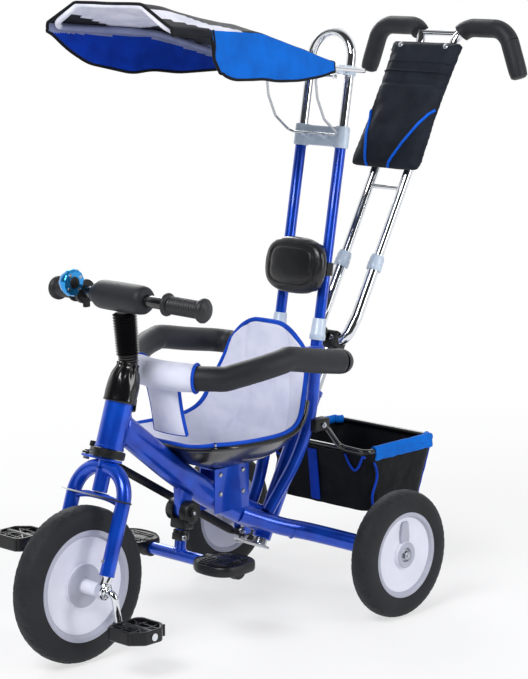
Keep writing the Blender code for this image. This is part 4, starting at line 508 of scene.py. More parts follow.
BEND = head(0.362)
STEM_TOP = at(0, -0.4335, 0.5555)
BAR_MID = at(0, -0.4365, 0.5765)
stem_dir = (STEM_TOP - BEND).normalized()
bellows_length = (STEM_TOP - BEND).length - 0.016
bellows = []
for i in range(15 * 6 + 1):
    s = 0.012 + bellows_length * i / 90
    bellows.append((s, 0.0168 + 0.0012 * i / 90 + 0.0021 * cos(2 * pi * i / 6 + pi)))
bm = bmesh.new()
turned(bm, bellows + [(0.012 + bellows_length, 0.0136), (0.012, 0.0136)], BEND, stem_dir, 0, 44, ring=True)
neck = rounded([head(0.350), BEND, BEND + stem_dir * 0.013], 0.010, 6)
tube(bm, neck, 0.0152, 0, 32)
for k in range(3):
    turned(bm, [(-0.0014, 0.0150), (0, 0.0166), (0.0014, 0.0150)], BEND + stem_dir * (0.0015 + 0.0042 * k), stem_dir,
           0, 44)
piece("stem_bellows_sleeve", bm, [pvc_black], "steering", ["stem_bellows"], sharp=80)

# Fork
# Bent steel legs welded to the steerer with a small brace, in the frame's enamel. Bright shoes with an
# eye close the legs' feet; a flat chromed strap lies across them.
chrome, tree, shader, place = new_finish("chrome_plated_steel", "#E2E5EA", 0.05, 1.0)
smear = add(tree, 'TexNoise', {"Vector": place, "Scale": 60.0, "Detail": 3.0})
haze = add(tree, 'MapRange', {"Value": smear.outputs["Fac"], "From Min": 0.35, "From Max": 0.75, "To Min": 0.035,
                              "To Max": 0.11})
tree.links.new(haze.outputs["Result"], shader.inputs["Roughness"])

FORK_HALF = 0.058
bm = bmesh.new()
for sign in (1, -1):
    arc = [head(0.140 + 0.050 * sin(t), sign * (FORK_HALF - 0.050 + 0.050 * cos(t)))
           for t in (radians(5 * i) for i in range(19))]
    tube(bm, [head(0.024, sign * FORK_HALF), head(0.060, sign * FORK_HALF), head(0.100, sign * FORK_HALF)] + arc
         + [head(0.190, 0)], 0.012, 0, 32)
    turned(bm, [(0, 0.0120), (0.0004, 0.0124), (0.0030, 0.0124), (0.0034, 0.0120)],
           head(0.0242, sign * FORK_HALF), HEAD_DIR, 0, 32)
    # Bright shoe: a flattened plug that rises into the leg, and the round eye with its bearing
    rings = []
    for s, w, d in ((0.006, 0.0050, 0.0118), (0.013, 0.0058, 0.0110), (0.020, 0.0086, 0.0098),
                    (0.0265, 0.0112, 0.0112)):
        rings.append([bm.verts.new(head(s, sign * FORK_HALF + w * cos(a), d * sin(a)))
                      for a in (2 * pi * i / 24 for i in range(24))])
    skin(bm, rings, 1)
    bm.faces.new(rings[-1]).material_index = 1
    turned(bm, [(-0.0073, 0.0066), (-0.0073, 0.0120), (-0.0060, 0.0142), (0.0060, 0.0142), (0.0073, 0.0120),
                (0.0073, 0.0096), (0.0062, 0.0088), (0.0062, 0.0066)], head(0, sign * FORK_HALF), SIDE * sign, 1, 40,
           ring=True)
    turned(bm, [(0, 0.0040), (0.0012, 0.0038), (0.0020, 0.0020)], head(0.046, sign * (FORK_HALF - 0.004), 0.0108),
           HEAD_FWD, 2, 16)
rod(bm, head(0.150), head(0.3115), 0.0125, 0, 36)
x = FORK_HALF - 0.006
brace = smooth([head(0.138, -x), head(0.143, -x * 0.5), head(0.144, 0), head(0.143, x * 0.5), head(0.138, x)], 24)
tube(bm, brace, 0.0055, 0, 18)
for sign in (1, -1):
    turned(bm, [(-0.001, 0.0126), (0.0, 0.0139), (0.0022, 0.0139), (0.0034, 0.0126)], head(0.187), HEAD_DIR, 0, 30)
ARM_TOP = 0.2046
ear = [(0.047 + 0.009 * cos(radians(a)), 0.009 * sin(radians(a))) for a in range(-80, 81, 16)]
arm = [(-a, b) for a, b in ear[::-1]] + [(-0.012, -0.016), (0.0245, -0.011), (0.0245, 0.011), (-0.012, 0.016)]
plate(bm, arm, 0.004, head(ARM_TOP - 0.002), SIDE, HEAD_FWD, 0, 0.0006)
bolt_top = head(ARM_TOP + 0.0086, -0.047)
turned(bm, [(0, 0.0022), (0.0006, 0.0050), (0.0010, 0.0055), (0.0035, 0.0055), (0.0035, 0.0030), (0.0124, 0.0030)],
       bolt_top, -HEAD_DIR, 2, 24)
turned(bm, [(0.0124, 0.0046), (0.0128, 0.0052), (0.0166, 0.0052), (0.0170, 0.0040)], bolt_top, -HEAD_DIR, 2, 6)
piece("fork_legs", bm, [enamel, chrome, zinc], "steering", ["fork"])

bm = bmesh.new()
outer = [(0.082 * cos(t), 0.0055 + 0.0105 * sin(t)) for t in (2 * pi * i / 48 for i in range(48))]
inner = [(0.070 * cos(t), 0.0055 + 0.0062 * sin(t)) for t in (2 * pi * i / 48 for i in range(48))]
ring_out = [[bm.verts.new(head(0.143 + h, a, b)) for a, b in outer] for h in (-0.0013, 0.0013)]
ring_in = [[bm.verts.new(head(0.143 + h, a, b)) for a, b in inner] for h in (0.0013, -0.0013)]
skin(bm, ring_out + ring_in + [ring_out[0]])
piece("fork_strap_ring", bm, [chrome], "steering", ["fork_strap"])

# Front wheel
# A closed-cell foam tyre with moulded chevrons on a two-part ABS wheel: white disc, grey edge and hub.
foam_tyre, tree, shader, place = new_finish("eva_foam_tyre", "#191B20", 0.68, Sheen_Weight=0.03,
                                            Specular_IOR_Level=0.35)
cells = add(tree, 'TexNoise', {"Vector": place, "Scale": 420.0, "Detail": 3.0})
dust = add(tree, 'TexNoise', {"Vector": place, "Scale": 18.0, "Detail": 3.0})
tyre_tone = add(tree, 'ValToRGB', {"Fac": dust.outputs["Fac"]})
tyre_tone.color_ramp.elements[0].position = 0.3
tyre_tone.color_ramp.elements[0].color = linear("#15171B")
tyre_tone.color_ramp.elements[1].position = 0.8
tyre_tone.color_ramp.elements[1].color = linear("#202328")
tree.links.new(tyre_tone.outputs["Color"], shader.inputs["Base Color"])
cell_bump = add(tree, 'Bump', {"Strength": 0.22, "Distance": 0.0006, "Height": cells.outputs["Fac"]})
tree.links.new(cell_bump.outputs["Normal"], shader.inputs["Normal"])

wheel_white, tree, shader, place = new_finish("white_abs", "#DCDDEA", 0.34, Coat_Weight=0.15)
sink = add(tree, 'TexNoise', {"Vector": place, "Scale": 35.0, "Detail": 2.0})
sink_bump = add(tree, 'Bump', {"Strength": 0.10, "Distance": 0.0010, "Height": sink.outputs["Fac"]})
tree.links.new(sink_bump.outputs["Normal"], shader.inputs["Normal"])
sink_tone = add(tree, 'ValToRGB', {"Fac": sink.outputs["Fac"]})
sink_tone.color_ramp.elements[0].color = linear("#D6D7E6")
sink_tone.color_ramp.elements[1].color = linear("#E2E3EE")
tree.links.new(sink_tone.outputs["Color"], shader.inputs["Base Color"])

wheel_grey, tree, shader, place = new_finish("grey_abs", "#A9ABBA", 0.40)
flow = add(tree, 'TexNoise', {"Vector": place, "Scale": 120.0, "Detail": 3.0})
flow_bump = add(tree, 'Bump', {"Strength": 0.08, "Distance": 0.0004, "Height": flow.outputs["Fac"]})
tree.links.new(flow_bump.outputs["Normal"], shader.inputs["Normal"])


def tyre(bm, centre, radius, rim_r, width, chevrons, steps):
    """A low crowned foam tyre with chevron grooves pressed into tread and shoulders."""
    h = radius - rim_r
    half = [(0.86, 0.0), (0.97, 0.22), (1.00, 0.48), (0.94, 0.68), (0.73, 0.885), (0.36, 0.985), (0.0, 1.0)]
    right = smooth([Vector((a * width / 2, rim_r + b * h, 0)) for a, b in half], 14)
    line = [(p.x, p.y) for p in right] + [(-p.x, p.y) for p in reversed(right[:-1])]
    rings = []
    for i in range(steps):
        t = 2 * pi * i / steps
        row = []
        for x, r in line:
            p = abs(x) / (width / 2)
            turn = chevrons * t / (2 * pi) + (0.0 if x > 0 else 0.5)
            away = abs((turn + 1.55 * p * p + 0.5) % 1.0 - 0.5)
            fine = abs((turn * 2 - 1.2 * p + 0.5) % 1.0 - 0.5)
            edge = min(max((p - 0.10) / 0.08, 0.0), 1.0)
            shoulder = 1.0 if r > rim_r + 0.30 * h else 0.0
            cut_in = 0.0017 * edge * shoulder * exp(-(away / 0.050) ** 2)
            if r > rim_r + 0.80 * h:
                cut_in += 0.0009 * edge * exp(-(fine / 0.07) ** 2)
            cut_in += 0.0010 * exp(-((p - 0.50 - 0.05 * sin(turn * 2 * pi)) / 0.045) ** 2)
            k = r - cut_in
            row.append(bm.verts.new(centre + Vector((x, k * sin(t), k * cos(t)))))
        rings.append(row)
    skin(bm, rings + [rings[0]], 0, around=False)


bm = bmesh.new()
tyre(bm, FRONT_AXLE, 0.1272, 0.0905, 0.044, 30, 420)
piece("front_tyre_foam", bm, [foam_tyre], "front_wheel", ["front_tyre"], sharp=60)

bm = bmesh.new()
face = [(0.0490, 0.0068, 0), (0.0490, 0.0100, 0), (0.0484, 0.0108, 0), (0.0180, 0.0122, 0), (0.0165, 0.0135, 1),
        (0.0155, 0.0330, 1), (0.0140, 0.0352, 1), (0.0098, 0.0362, 0), (0.0104, 0.050, 0), (0.0118, 0.066, 0),
        (0.0132, 0.0790, 0), (0.0150, 0.0806, 1), (0.0188, 0.0818, 1), (0.0200, 0.0830, 1), (0.0203, 0.0890, 1),
        (0.0196, 0.0906, 1)]
back = [(-a, r, k) for a, r, k in reversed(face)]
turned(bm, face + back, FRONT_AXLE, SIDE, 0, 120, ring=True)
piece("front_wheel_disc", bm, [wheel_white, wheel_grey], "front_wheel", ["front_rim"], sharp=30)

# Crankshaft and pedals
# One bent chromed bar through fork and hub; moulded pedals with open ribs run on its ends.
CRANK_DIR = Vector((0, sin(radians(10)), -cos(radians(10))))
CRANK_X = 0.083
PEDAL_IN = CRANK_X + 0.0075
PEDAL_X = PEDAL_IN + 0.036
reach = PEDAL_IN + 0.074
bm = bmesh.new()
crank = rounded([FRONT_AXLE - SIDE * reach - CRANK_DIR * 0.055, FRONT_AXLE - SIDE * CRANK_X - CRANK_DIR * 0.055,
                 FRONT_AXLE - SIDE * CRANK_X, FRONT_AXLE + SIDE * CRANK_X,
                 FRONT_AXLE + SIDE * CRANK_X + CRANK_DIR * 0.055, FRONT_AXLE + SIDE * reach + CRANK_DIR * 0.055],
                0.011, 8)
sweep(bm, crank, circle(0.006, 22), 0, CRANK_DIR)
for sign in (1, -1):
    turned(bm, [(0.0660, 0.0062), (0.0660, 0.0100), (0.0668, 0.0104), (0.0680, 0.0104), (0.0686, 0.0098),
                (0.0690, 0.0062)],
           FRONT_AXLE, SIDE * sign, 0, 32, ring=True)
    turned(bm, [(0.0502, 0.0062), (0.0502, 0.0082), (0.0504, 0.0082), (0.0504, 0.0062)], FRONT_AXLE, SIDE * sign, 0,
           20,
           ring=True)
piece("crank_bar", bm, [chrome], "front_wheel", ["crankshaft"], sharp=50)


def pedal(sign, side):
    centre = FRONT_AXLE + SIDE * sign * PEDAL_X + CRANK_DIR * sign * 0.055
    bm = bmesh.new()
    a, b, c = 0.036, 0.0375, 0.020
    corner = [(-a, -b + 0.008), (-a + 0.008, -b), (a - c, -b), (a, -b + c), (a, b - c), (a - c, b), (-a + 0.008, b),
              (-a, b - 0.008)]
    loop = rounded([Vector((x, y, 0)) for x, y in corner + corner[:2]], 0.009, 4)[3:-2]
    loops = []
    for inset, z in ((0.0052, -0.0098), (0.0040, -0.0110), (0.0016, -0.0110), (0.0, -0.0094), (0.0, 0.0094),
                     (0.0016, 0.0110), (0.0040, 0.0110), (0.0052, 0.0098)):
        row = []
        for p in loop:
            k = 1 - inset / 0.036
            row.append(bm.verts.new(centre + Vector((sign * p.x * k, p.y * k, z))))
        loops.append(row)
    skin(bm, loops + [loops[0]])
    rod(bm, centre - SIDE * 0.035, centre + SIDE * 0.035, 0.0100, 0, 28)
    for turn in (-0.62, 0.62):
        block(bm, (0.076, 0.0028, 0.0175), centre, Vector((cos(turn), sin(turn), 0)), UP, 0.0006)
    for x in (-0.012, 0.012):
        block(bm, (0.0026, 0.068, 0.0165), centre + SIDE * x, SIDE, UP, 0.0006)
    for y in (-0.019, 0.019):
        block(bm, (0.066, 0.0024, 0.0165), centre + Vector((0, y, 0)), SIDE, UP, 0.0006)
    for i in range(-4, 5):
        for y in (-0.0356, 0.0356):
            block(bm, (0.0022, 0.0040, 0.0190), centre + Vector((sign * (i * 0.0062 - 0.004), y, 0)), SIDE, UP, 0.0006)
    piece(f"pedal_body_{side}", bm, [abs_black], f"pedal_{side}", [f"pedal_{side}"])


pedal(1, "left")
pedal(-1, "right")

# Rear wheels
# The same foam and ABS; one side's disc has a grey web from the hub, where a pin with a nut holds it.


def rear_wheel(sign, side):
    centre = at(sign * 0.209, 0, 0.109)
    bm = bmesh.new()
    tyre(bm, centre, 0.1092, 0.0730, 0.040, 26, 380)
    piece(f"rear_tyre_foam_{side}", bm, [foam_tyre], f"rear_wheel_{side}", [f"rear_tyre_{side}"], sharp=60)
    bm = bmesh.new()
    face = [(0.0120, 0.0064, 1), (0.0120, 0.0112, 1), (0.0172, 0.0118, 1), (0.0182, 0.0130, 1), (0.0184, 0.0205, 1),
            (0.0172, 0.0222, 1), (0.0112, 0.0240, 0), (0.0100, 0.0400, 0), (0.0110, 0.0560, 0), (0.0126, 0.0640, 0),
            (0.0142, 0.0654, 1), (0.0170, 0.0664, 1), (0.0180, 0.0676, 1), (0.0182, 0.0722, 1), (0.0174, 0.0733, 1)]
    back = [(-a, r, k) for a, r, k in reversed(face)]
    turned(bm, face + back, centre, SIDE * sign, 0, 108, ring=True)
    web = [(-0.0098, 0.014), (-0.0105, 0.030), (-0.0090, 0.052), (-0.0060, 0.0575), (0.0060, 0.0575), (0.0090, 0.052),
           (0.0105, 0.030), (0.0098, 0.014)]
    plate(bm, web, 0.0052, centre + SIDE * sign * 0.0120, Vector((0, 1, 0)), UP, 1, 0.0012)
    piece(f"rear_wheel_disc_{side}", bm, [wheel_white, wheel_grey], f"rear_wheel_{side}", [f"rear_rim_{side}"],
          sharp=30)
    bm = bmesh.new()
    inner = STAY_END - 0.033 - 0.209
    turned(bm, [(inner, 0.0050), (STAY_END + 0.0010 - 0.209, 0.0055), (STAY_END + 0.0010 - 0.209, 0.0095),
                (-0.0192, 0.0095), (-0.0190, 0.0055), (0.0190, 0.0055)], centre, SIDE * sign, 0, 28)
    turned(bm, [(0.0130, 0.0056), (0.0130, 0.0092), (0.0140, 0.0098), (0.0148, 0.0098), (0.0150, 0.0060)], centre,
           SIDE * sign, 0, 28)
    turned(bm, [(0.0150, 0.0064), (0.0152, 0.0078), (0.0205, 0.0078), (0.0212, 0.0066), (0.0212, 0.0042),
                (0.0232, 0.0040),
                (0.0238, 0.0030)], centre, SIDE * sign, 0, 6)
    piece(f"rear_axle_pin_{side}", bm, [zinc], "frame", [f"rear_pin_{side}"])
    bm = bmesh.new()
    place = at(sign * (STAY_END - 0.022), -0.004, 0.109 - 0.0155 - 0.012)
    line = [(-0.008, -0.007), (-0.009, 0.0), (-0.008, 0.006), (0.004, 0.006), (0.024, 0.0010), (0.040, -0.0035),
            (0.0445, -0.0075), (0.0440, -0.0100), (0.036, -0.010), (0.020, -0.0085), (0.004, -0.007)]
    plate(bm, line, 0.0198, place, Vector((0, 1, 0)), UP, 0, 0.0010)
    for i in range(4):
        block(bm, (0.017, 0.0016, 0.0022), place + Vector((0, 0.016 + i * 0.006, 0.0040 - i * 0.0015)), SIDE, UP,
              0.0004)
    piece(f"brake_pedal_lever_{side}", bm, [abs_black], f"brake_{side}", [f"brake_pedal_{side}"])


rear_wheel(1, "left")
rear_wheel(-1, "right")

# Handlebar, foam and grips
# A black painted steel bar, bent back a little at both ends, with a foam bolster round its middle and
# ribbed rubber grips pushed on its ends.
paint_black, tree, shader, place = new_finish("gloss_black_paint", "#111214", 0.20, Coat_Weight=0.6,
                                              Coat_Roughness=0.06)
fleck = add(tree, 'TexNoise', {"Vector": place, "Scale": 140.0, "Detail": 2.0})
fleck_bump = add(tree, 'Bump', {"Strength": 0.05, "Distance": 0.0004, "Height": fleck.outputs["Fac"]})
tree.links.new(fleck_bump.outputs["Normal"], shader.inputs["Normal"])

nbr_foam, tree, shader, place = new_finish("black_nbr_foam", "#1C1E23", 0.52, Sheen_Weight=0.04, Sheen_Roughness=0.5,
                                             Specular_IOR_Level=0.35)
pores = add(tree, 'TexVoronoi', {"Vector": place, "Scale": 900.0})        # cells near 1 mm, drawn coarse
skin_of = add(tree, 'TexNoise', {"Vector": place, "Scale": 70.0, "Detail": 3.0})
pore_bump = add(tree, 'Bump', {"Strength": 0.30, "Distance": 0.0004, "Height": pores.outputs["Distance"]})
skin_bump = add(tree, 'Bump', {"Strength": 0.22, "Distance": 0.0012, "Height": skin_of.outputs["Fac"],
                               "Normal": pore_bump.outputs["Normal"]})
tree.links.new(skin_bump.outputs["Normal"], shader.inputs["Normal"])
foam_tone = add(tree, 'ValToRGB', {"Fac": skin_of.outputs["Fac"]})
foam_tone.color_ramp.elements[0].color = linear("#15171B")
foam_tone.color_ramp.elements[1].color = linear("#202329")
tree.links.new(foam_tone.outputs["Color"], shader.inputs["Base Color"])

grip_rubber, tree, shader, place = new_finish("black_grip_rubber", "#1B1C20", 0.48)
talc = add(tree, 'TexNoise', {"Vector": place, "Scale": 500.0, "Detail": 2.0})
talc_bump = add(tree, 'Bump', {"Strength": 0.15, "Distance": 0.0003, "Height": talc.outputs["Fac"]})
tree.links.new(talc_bump.outputs["Normal"], shader.inputs["Normal"])

bar_knee = Vector((0.074, BAR_MID.y, BAR_MID.z))
bar_end = at(0.171, -0.4225, 0.5720)
bar_path = rounded([Vector((-bar_end.x, bar_end.y, bar_end.z)), Vector((-bar_knee.x, bar_knee.y, bar_knee.z)),
                    bar_knee, bar_end], 0.05, 8)
bm = bmesh.new()
tube(bm, bar_path, 0.0098, 0, 28)
stem_path = rounded([head(0.312), BEND, STEM_TOP, BAR_MID], 0.03, 8)
tube(bm, stem_path, 0.0125, 0, 28)
piece("handlebar_tube", bm, [paint_black], "steering", ["handlebar"])

bm = bmesh.new()
bolster = [(0, 0.0104), (0.0, 0.0150), (0.0022, 0.0163), (0.0100, 0.0192), (0.0130, 0.0205), (0.0142, 0.0222),
           (0.0190, 0.0233), (0.035, 0.0236), (0.060, 0.0237), (0.088, 0.0236), (0.1060, 0.0232), (0.1130, 0.0222),
           (0.1168, 0.0200), (0.1190, 0.0160), (0.1200, 0.0104)]
turned(bm, bolster, Vector((-0.064, BAR_MID.y, BAR_MID.z)), SIDE, 0, 48, ring=True)
bar_pad = piece("handlebar_bolster", bm, [nbr_foam], "steering", ["handlebar_foam"])

grip_dir = (bar_end - bar_knee).normalized()
for sign, side, grip_from in ((1, "left", 0.0955), (-1, "right", 0.1130)):
    base = bar_knee + grip_dir * ((grip_from - bar_knee.x) / grip_dir.x)
    base.x *= sign
    length = (bar_end.x - grip_from) / grip_dir.x
    profile = [(0, 0.0104), (0, 0.0165), (0.0008, 0.0182), (0.0034, 0.0186), (0.0052, 0.0178), (0.0068, 0.0150)]
    ribs = int((length - 0.018) / 0.0046)
    pitch = (length - 0.018) / ribs
    for i in range(ribs):
        s = 0.0078 + pitch * i
        profile += [(s, 0.0131), (s + pitch * 0.22, 0.0143), (s + pitch * 0.70, 0.0143), (s + pitch * 0.92, 0.0131)]
    profile += [(length - 0.0092, 0.0150), (length - 0.0078, 0.0184), (length - 0.0050, 0.0197),
                (length - 0.0014, 0.0193), (length + 0.0022, 0.0160), (length + 0.0040, 0.0110),
                (length + 0.0046, 0.0104), (length + 0.0060, 0.0060)]
    bm = bmesh.new()
    turned(bm, profile, base, Vector((sign * grip_dir.x, grip_dir.y, grip_dir.z)), 0, 40)
    piece(f"bar_grip_rubber_{side}", bm, [grip_rubber], "steering", [f"bar_grip_{side}"], sharp=50)

# Turn bell
# A blue anodised dome on a moulded clamp beside the bolster.
anodised, tree, shader, place = new_finish("blue_anodised_aluminium", "#2C9BE6", 0.18, 0.85, Coat_Weight=0.4,
                                           Coat_Roughness=0.05)
spun = add(tree, 'TexNoise', {"Vector": place, "Scale": 220.0, "Detail": 3.0})
spun_bump = add(tree, 'Bump', {"Strength": 0.10, "Distance": 0.0004, "Height": spun.outputs["Fac"]})
tree.links.new(spun_bump.outputs["Normal"], shader.inputs["Normal"])
along = (0.0930 - bar_knee.x) / (bar_end.x - bar_knee.x)
bar_here = Vector((-0.0930, BAR_MID.y + (bar_end.y - BAR_MID.y) * along, BAR_MID.z + (bar_end.z - BAR_MID.z) * along))
bell_centre = bar_here + Vector((-0.0045, -0.0250, 0.0170))
bm = bmesh.new()
turned(bm, [(-0.0042, 0.0185), (-0.0036, 0.0200), (0.0036, 0.0200), (0.0042, 0.0185)], bar_here, SIDE, 0, 40)
turned(bm, [(0.0003, 0.0200), (0.0008, 0.0220), (0.0060, 0.0222), (0.0085, 0.0205), (0.0090, 0.0150)], bell_centre,
       SIDE, 2, 44, wave=lambda s, t: 0.0005 * cos(14 * t))
block(bm, (0.0070, 0.0120, 0.0090), bar_here + Vector((0, 0.004, -0.0220)), SIDE, UP, 0.002)
for a in (0.6, 2.2, 3.8, 5.4):
    turned(bm, [(0.0088, 0.0030), (0.0096, 0.0028)], bell_centre + Vector((0, 0.0150 * cos(a), 0.0150 * sin(a))),
           SIDE, 1, 14)
turned(bm, [(0.0086, 0.0100), (0.0098, 0.0096), (0.0102, 0.0060)], bell_centre, SIDE, 0, 30)
piece("bell_clamp", bm, [abs_black, zinc, anodised], "steering", ["bell_base"])
bm = bmesh.new()
dome = [(0.0, 0.0186), (0.0008, 0.0192), (0.0034, 0.0192), (0.0044, 0.0184), (0.0062, 0.0182), (0.0090, 0.0172),
        (0.0122, 0.0150), (0.0148, 0.0120), (0.0164, 0.0085), (0.0172, 0.0052), (0.0176, 0.0044), (0.0208, 0.0042),
        (0.0220, 0.0032), (0.0225, 0.0012)]
turned(bm, dome, bell_centre, -SIDE, 0, 48, wave=lambda s, t: 0.0005 * cos(8 * t) if s > 0.004 else 0.0)
piece("bell_cap", bm, [anodised], "bell_dial", ["bell_dome"])

# Footrest
# A steel T-tube on a moulded knuckle that folds on the frame's lug; two moulded foot plates turn on its arms.
foot_pivot = at(0, -0.306, 0.2040)
foot_low = at(0, -0.306 - 0.009, 0.2040 - 0.074)
foot_dir = (foot_low - foot_pivot).normalized()
bm = bmesh.new()
rod(bm, foot_pivot + foot_dir * 0.0150, foot_low, 0.0095, 0, 32)
rod(bm, foot_low - SIDE * 0.080, foot_low + SIDE * 0.080, 0.0105, 0, 32)
turned(bm, [(0, 0.0096), (0.0010, 0.0112), (0.0030, 0.0112), (0.0040, 0.0096)], foot_low - foot_dir * 0.0125, foot_dir,
       0, 28)
piece("footrest_bar", bm, [enamel], "footrest", ["footrest_tube"])

bm = bmesh.new()
for sign in (1, -1):
    cheek = [(0.0081, 0.0060), (0.0081, 0.0176), (0.0090, 0.0185), (0.0225, 0.0185), (0.0240, 0.0174),
             (0.0245, 0.0150),
             (0.0236, 0.0138), (0.0236, 0.0060)]
    turned(bm, cheek, foot_pivot, SIDE * sign, 0, 44, ring=True)
    turned(bm, [(0.0225, 0.0072), (0.0262, 0.0070), (0.0272, 0.0060), (0.0276, 0.0030)], foot_pivot, SIDE * sign, 0,
           28)
    turned(bm, [(0.0270, 0.0034), (0.0282, 0.0030), (0.0286, 0.0014)], foot_pivot, SIDE * sign, 1, 16)
rod(bm, foot_pivot - SIDE * 0.0082, foot_pivot + SIDE * 0.0082, 0.0050, 1, 20)
block(bm, (0.034, 0.025, 0.019), foot_pivot + foot_dir * 0.0205, SIDE, -foot_dir, 0.004)
clamp_at = foot_pivot + foot_dir * 0.040
turned(bm, [(-0.0085, 0.0110), (-0.0080, 0.0128), (-0.0068, 0.0135), (0.0068, 0.0135), (0.0080, 0.0128),
            (0.0085, 0.0110)],
       clamp_at, foot_dir, 0, 36)
block(bm, (0.024, 0.012, 0.0125), clamp_at + SIDE * 0.008 - Vector((0, 0.0125, 0)), SIDE, -foot_dir, 0.0025)
turned(bm, [(0, 0.0050), (0.0016, 0.0048), (0.0024, 0.0040)], clamp_at + Vector((0.0195, -0.0130, 0)), SIDE, 1, 20)
turned(bm, [(0, 0.0022), (0.0012, 0.0020)], clamp_at + Vector((0.0215, -0.0130, 0)), SIDE, 0, 6)
block(bm, (0.013, 0.005, 0.032), foot_pivot + foot_dir * 0.030 + Vector((0, 0.0110, 0)), SIDE, -foot_dir, 0.0015)
piece("footrest_joint", bm, [abs_black, zinc], "footrest", ["footrest_knuckle"])
# Near-black plastic used as painted shade: the dark sheets laid in the foot plates' slots stand for the shade that
# falls there.
shadow_black, tree, shader, place = new_finish("painted_shade_slot_black", "#050506", 0.7)
pit = add(tree, 'TexNoise', {"Vector": place, "Scale": 600.0, "Detail": 2.0})
pit_bump = add(tree, 'Bump', {"Strength": 0.1, "Distance": 0.0003, "Height": pit.outputs["Fac"]})
tree.links.new(pit_bump.outputs["Normal"], shader.inputs["Normal"])


def foot_plate(sign, side):
    centre = foot_low + Vector((sign * 0.110, -0.008, 0.006))
    a, b = 0.046, 0.045
    corner = [(-a, -b * 0.45), (-a + 0.012, -b * 0.78), (-a * 0.3, -b), (a * 0.45, -b), (a * 0.88, -b * 0.72),
              (a, -b * 0.25), (a, b * 0.25), (a * 0.88, b * 0.72), (a * 0.45, b), (-a * 0.3, b),
              (-a + 0.012, b * 0.78),
              (-a, b * 0.45)]
    loop = smooth([Vector((x, y, 0)) for x, y in corner + corner[:1]], 48)[:-1]
    bm = bmesh.new()
    rings = []
    for scale, z in ((0.90, -0.0080), (0.965, -0.0076), (0.995, -0.0050), (1.0, 0.0010), (0.990, 0.0062),
                     (0.960, 0.0080), (0.935, 0.0074), (0.915, 0.0060), (0.60, 0.0060), (0.25, 0.0060)):
        rings.append([bm.verts.new(centre + Vector((sign * p.x * scale, p.y * scale, z))) for p in loop])
    skin(bm, rings)
    bm.faces.new(rings[0])
    bm.faces.new(rings[-1])
    for i in range(-4, 5):
        y = i * 0.0080
        half = 0.034 * sqrt(max(1 - (y / 0.046) ** 2, 0.0))
        block(bm, (2 * half, 0.0032, 0.0022), centre + Vector((0, y, 0.0066)), SIDE, UP, 0.0007)
    for x in (-0.014, 0.014):
        block(bm, (0.0030, 0.066, 0.0020), centre + Vector((x, 0, 0.0065)), SIDE, UP, 0.0006)
    slot_at = foot_low + Vector((sign * 0.130, -0.034, 0.0148))
    # Painted shade: two thin near-black sheets lie where the slot's shade falls.
    block(bm, (0.0205, 0.0125, 0.0012), slot_at - UP * 0.0008, SIDE, UP, 0.0004, 1)
    block(bm, (0.0170, 0.0090, 0.0014), slot_at - UP * 0.0006, SIDE, UP, 0.0004, 1)
    turned(bm, [(-0.046, 0.0118), (-0.046, 0.0142), (-0.0445, 0.0150), (0.0285, 0.0150), (0.0300, 0.0140),
                (0.0300, 0.0118)], foot_low + SIDE * sign * 0.110, SIDE * sign, 0, 36)
    for x in (-0.030, 0.0, 0.020):
        turned(bm, [(-0.002, 0.0150), (-0.0015, 0.0157), (0.0015, 0.0157), (0.002, 0.0150)],
               foot_low + SIDE * sign * (0.110 + x), SIDE, 0, 36)
    piece(f"foot_plate_tread_{side}", bm, [abs_black, shadow_black], "footrest", [f"foot_plate_{side}"])


foot_plate(1, "left")
foot_plate(-1, "right")

# Steering link
# A black painted flat bar from the fork's ear to the arm under the push handle's stem, on shouldered bolts.
ROD_FRONT = head(ARM_TOP + 0.0008 + 0.00175, -0.047)
ROD_REAR = grip_line(-0.0035, -0.047)
front_root = ROD_FRONT - HEAD_FWD * 0.016
rear_root = ROD_REAR + HANDLE_FWD * 0.016
rod_dir = (rear_root - front_root).normalized()
rod_length = (rear_root - front_root).length
bm = bmesh.new()
low = -0.007
bar = [(-0.006, -0.0017), (0.004, -0.0045), (0.014, low), (rod_length - 0.016, low), (rod_length - 0.004, -0.0045),
       (rod_length + 0.006, -0.0017)]
bar += [(a, -b) for a, b in reversed(bar)]
plate(bm, bar, 0.0045, front_root, rod_dir, SIDE.cross(rod_dir), 0, 0.0006)
for centre, ahead in ((ROD_FRONT, HEAD_FWD), (ROD_REAR, -HANDLE_FWD)):
    arc = [(0.0085 * cos(radians(a)), 0.0085 * sin(radians(a))) for a in range(-20, 201, 11)]
    plate(bm, arc + [(-0.0055, -0.026), (0.0055, -0.026)], 0.0035, centre, SIDE, ahead, 0, 0.0005)
piece("steering_link_bar", bm, [abs_black], "steering_rod", ["steering_rod"])

bm = bmesh.new()
turned(bm, [(0, 0.0022), (0.0015, 0.0024), (0.006, 0.0024), (0.006, 0.0036), (0.0135, 0.0036)],
       head(ARM_TOP + 0.0003, -0.032, 0.006), HEAD_DIR, 1, 20)
turned(bm, [(0.0135, 0.0040), (0.0140, 0.0052), (0.0205, 0.0053), (0.0222, 0.0044), (0.0226, 0.0020)],
       head(ARM_TOP + 0.0003, -0.032, 0.006), HEAD_DIR, 0, 26, wave=lambda s, t: 0.0004 * cos(10 * t))
piece("lock_pin_knob", bm, [abs_black, zinc], "lock_pin", ["lock_pin"])

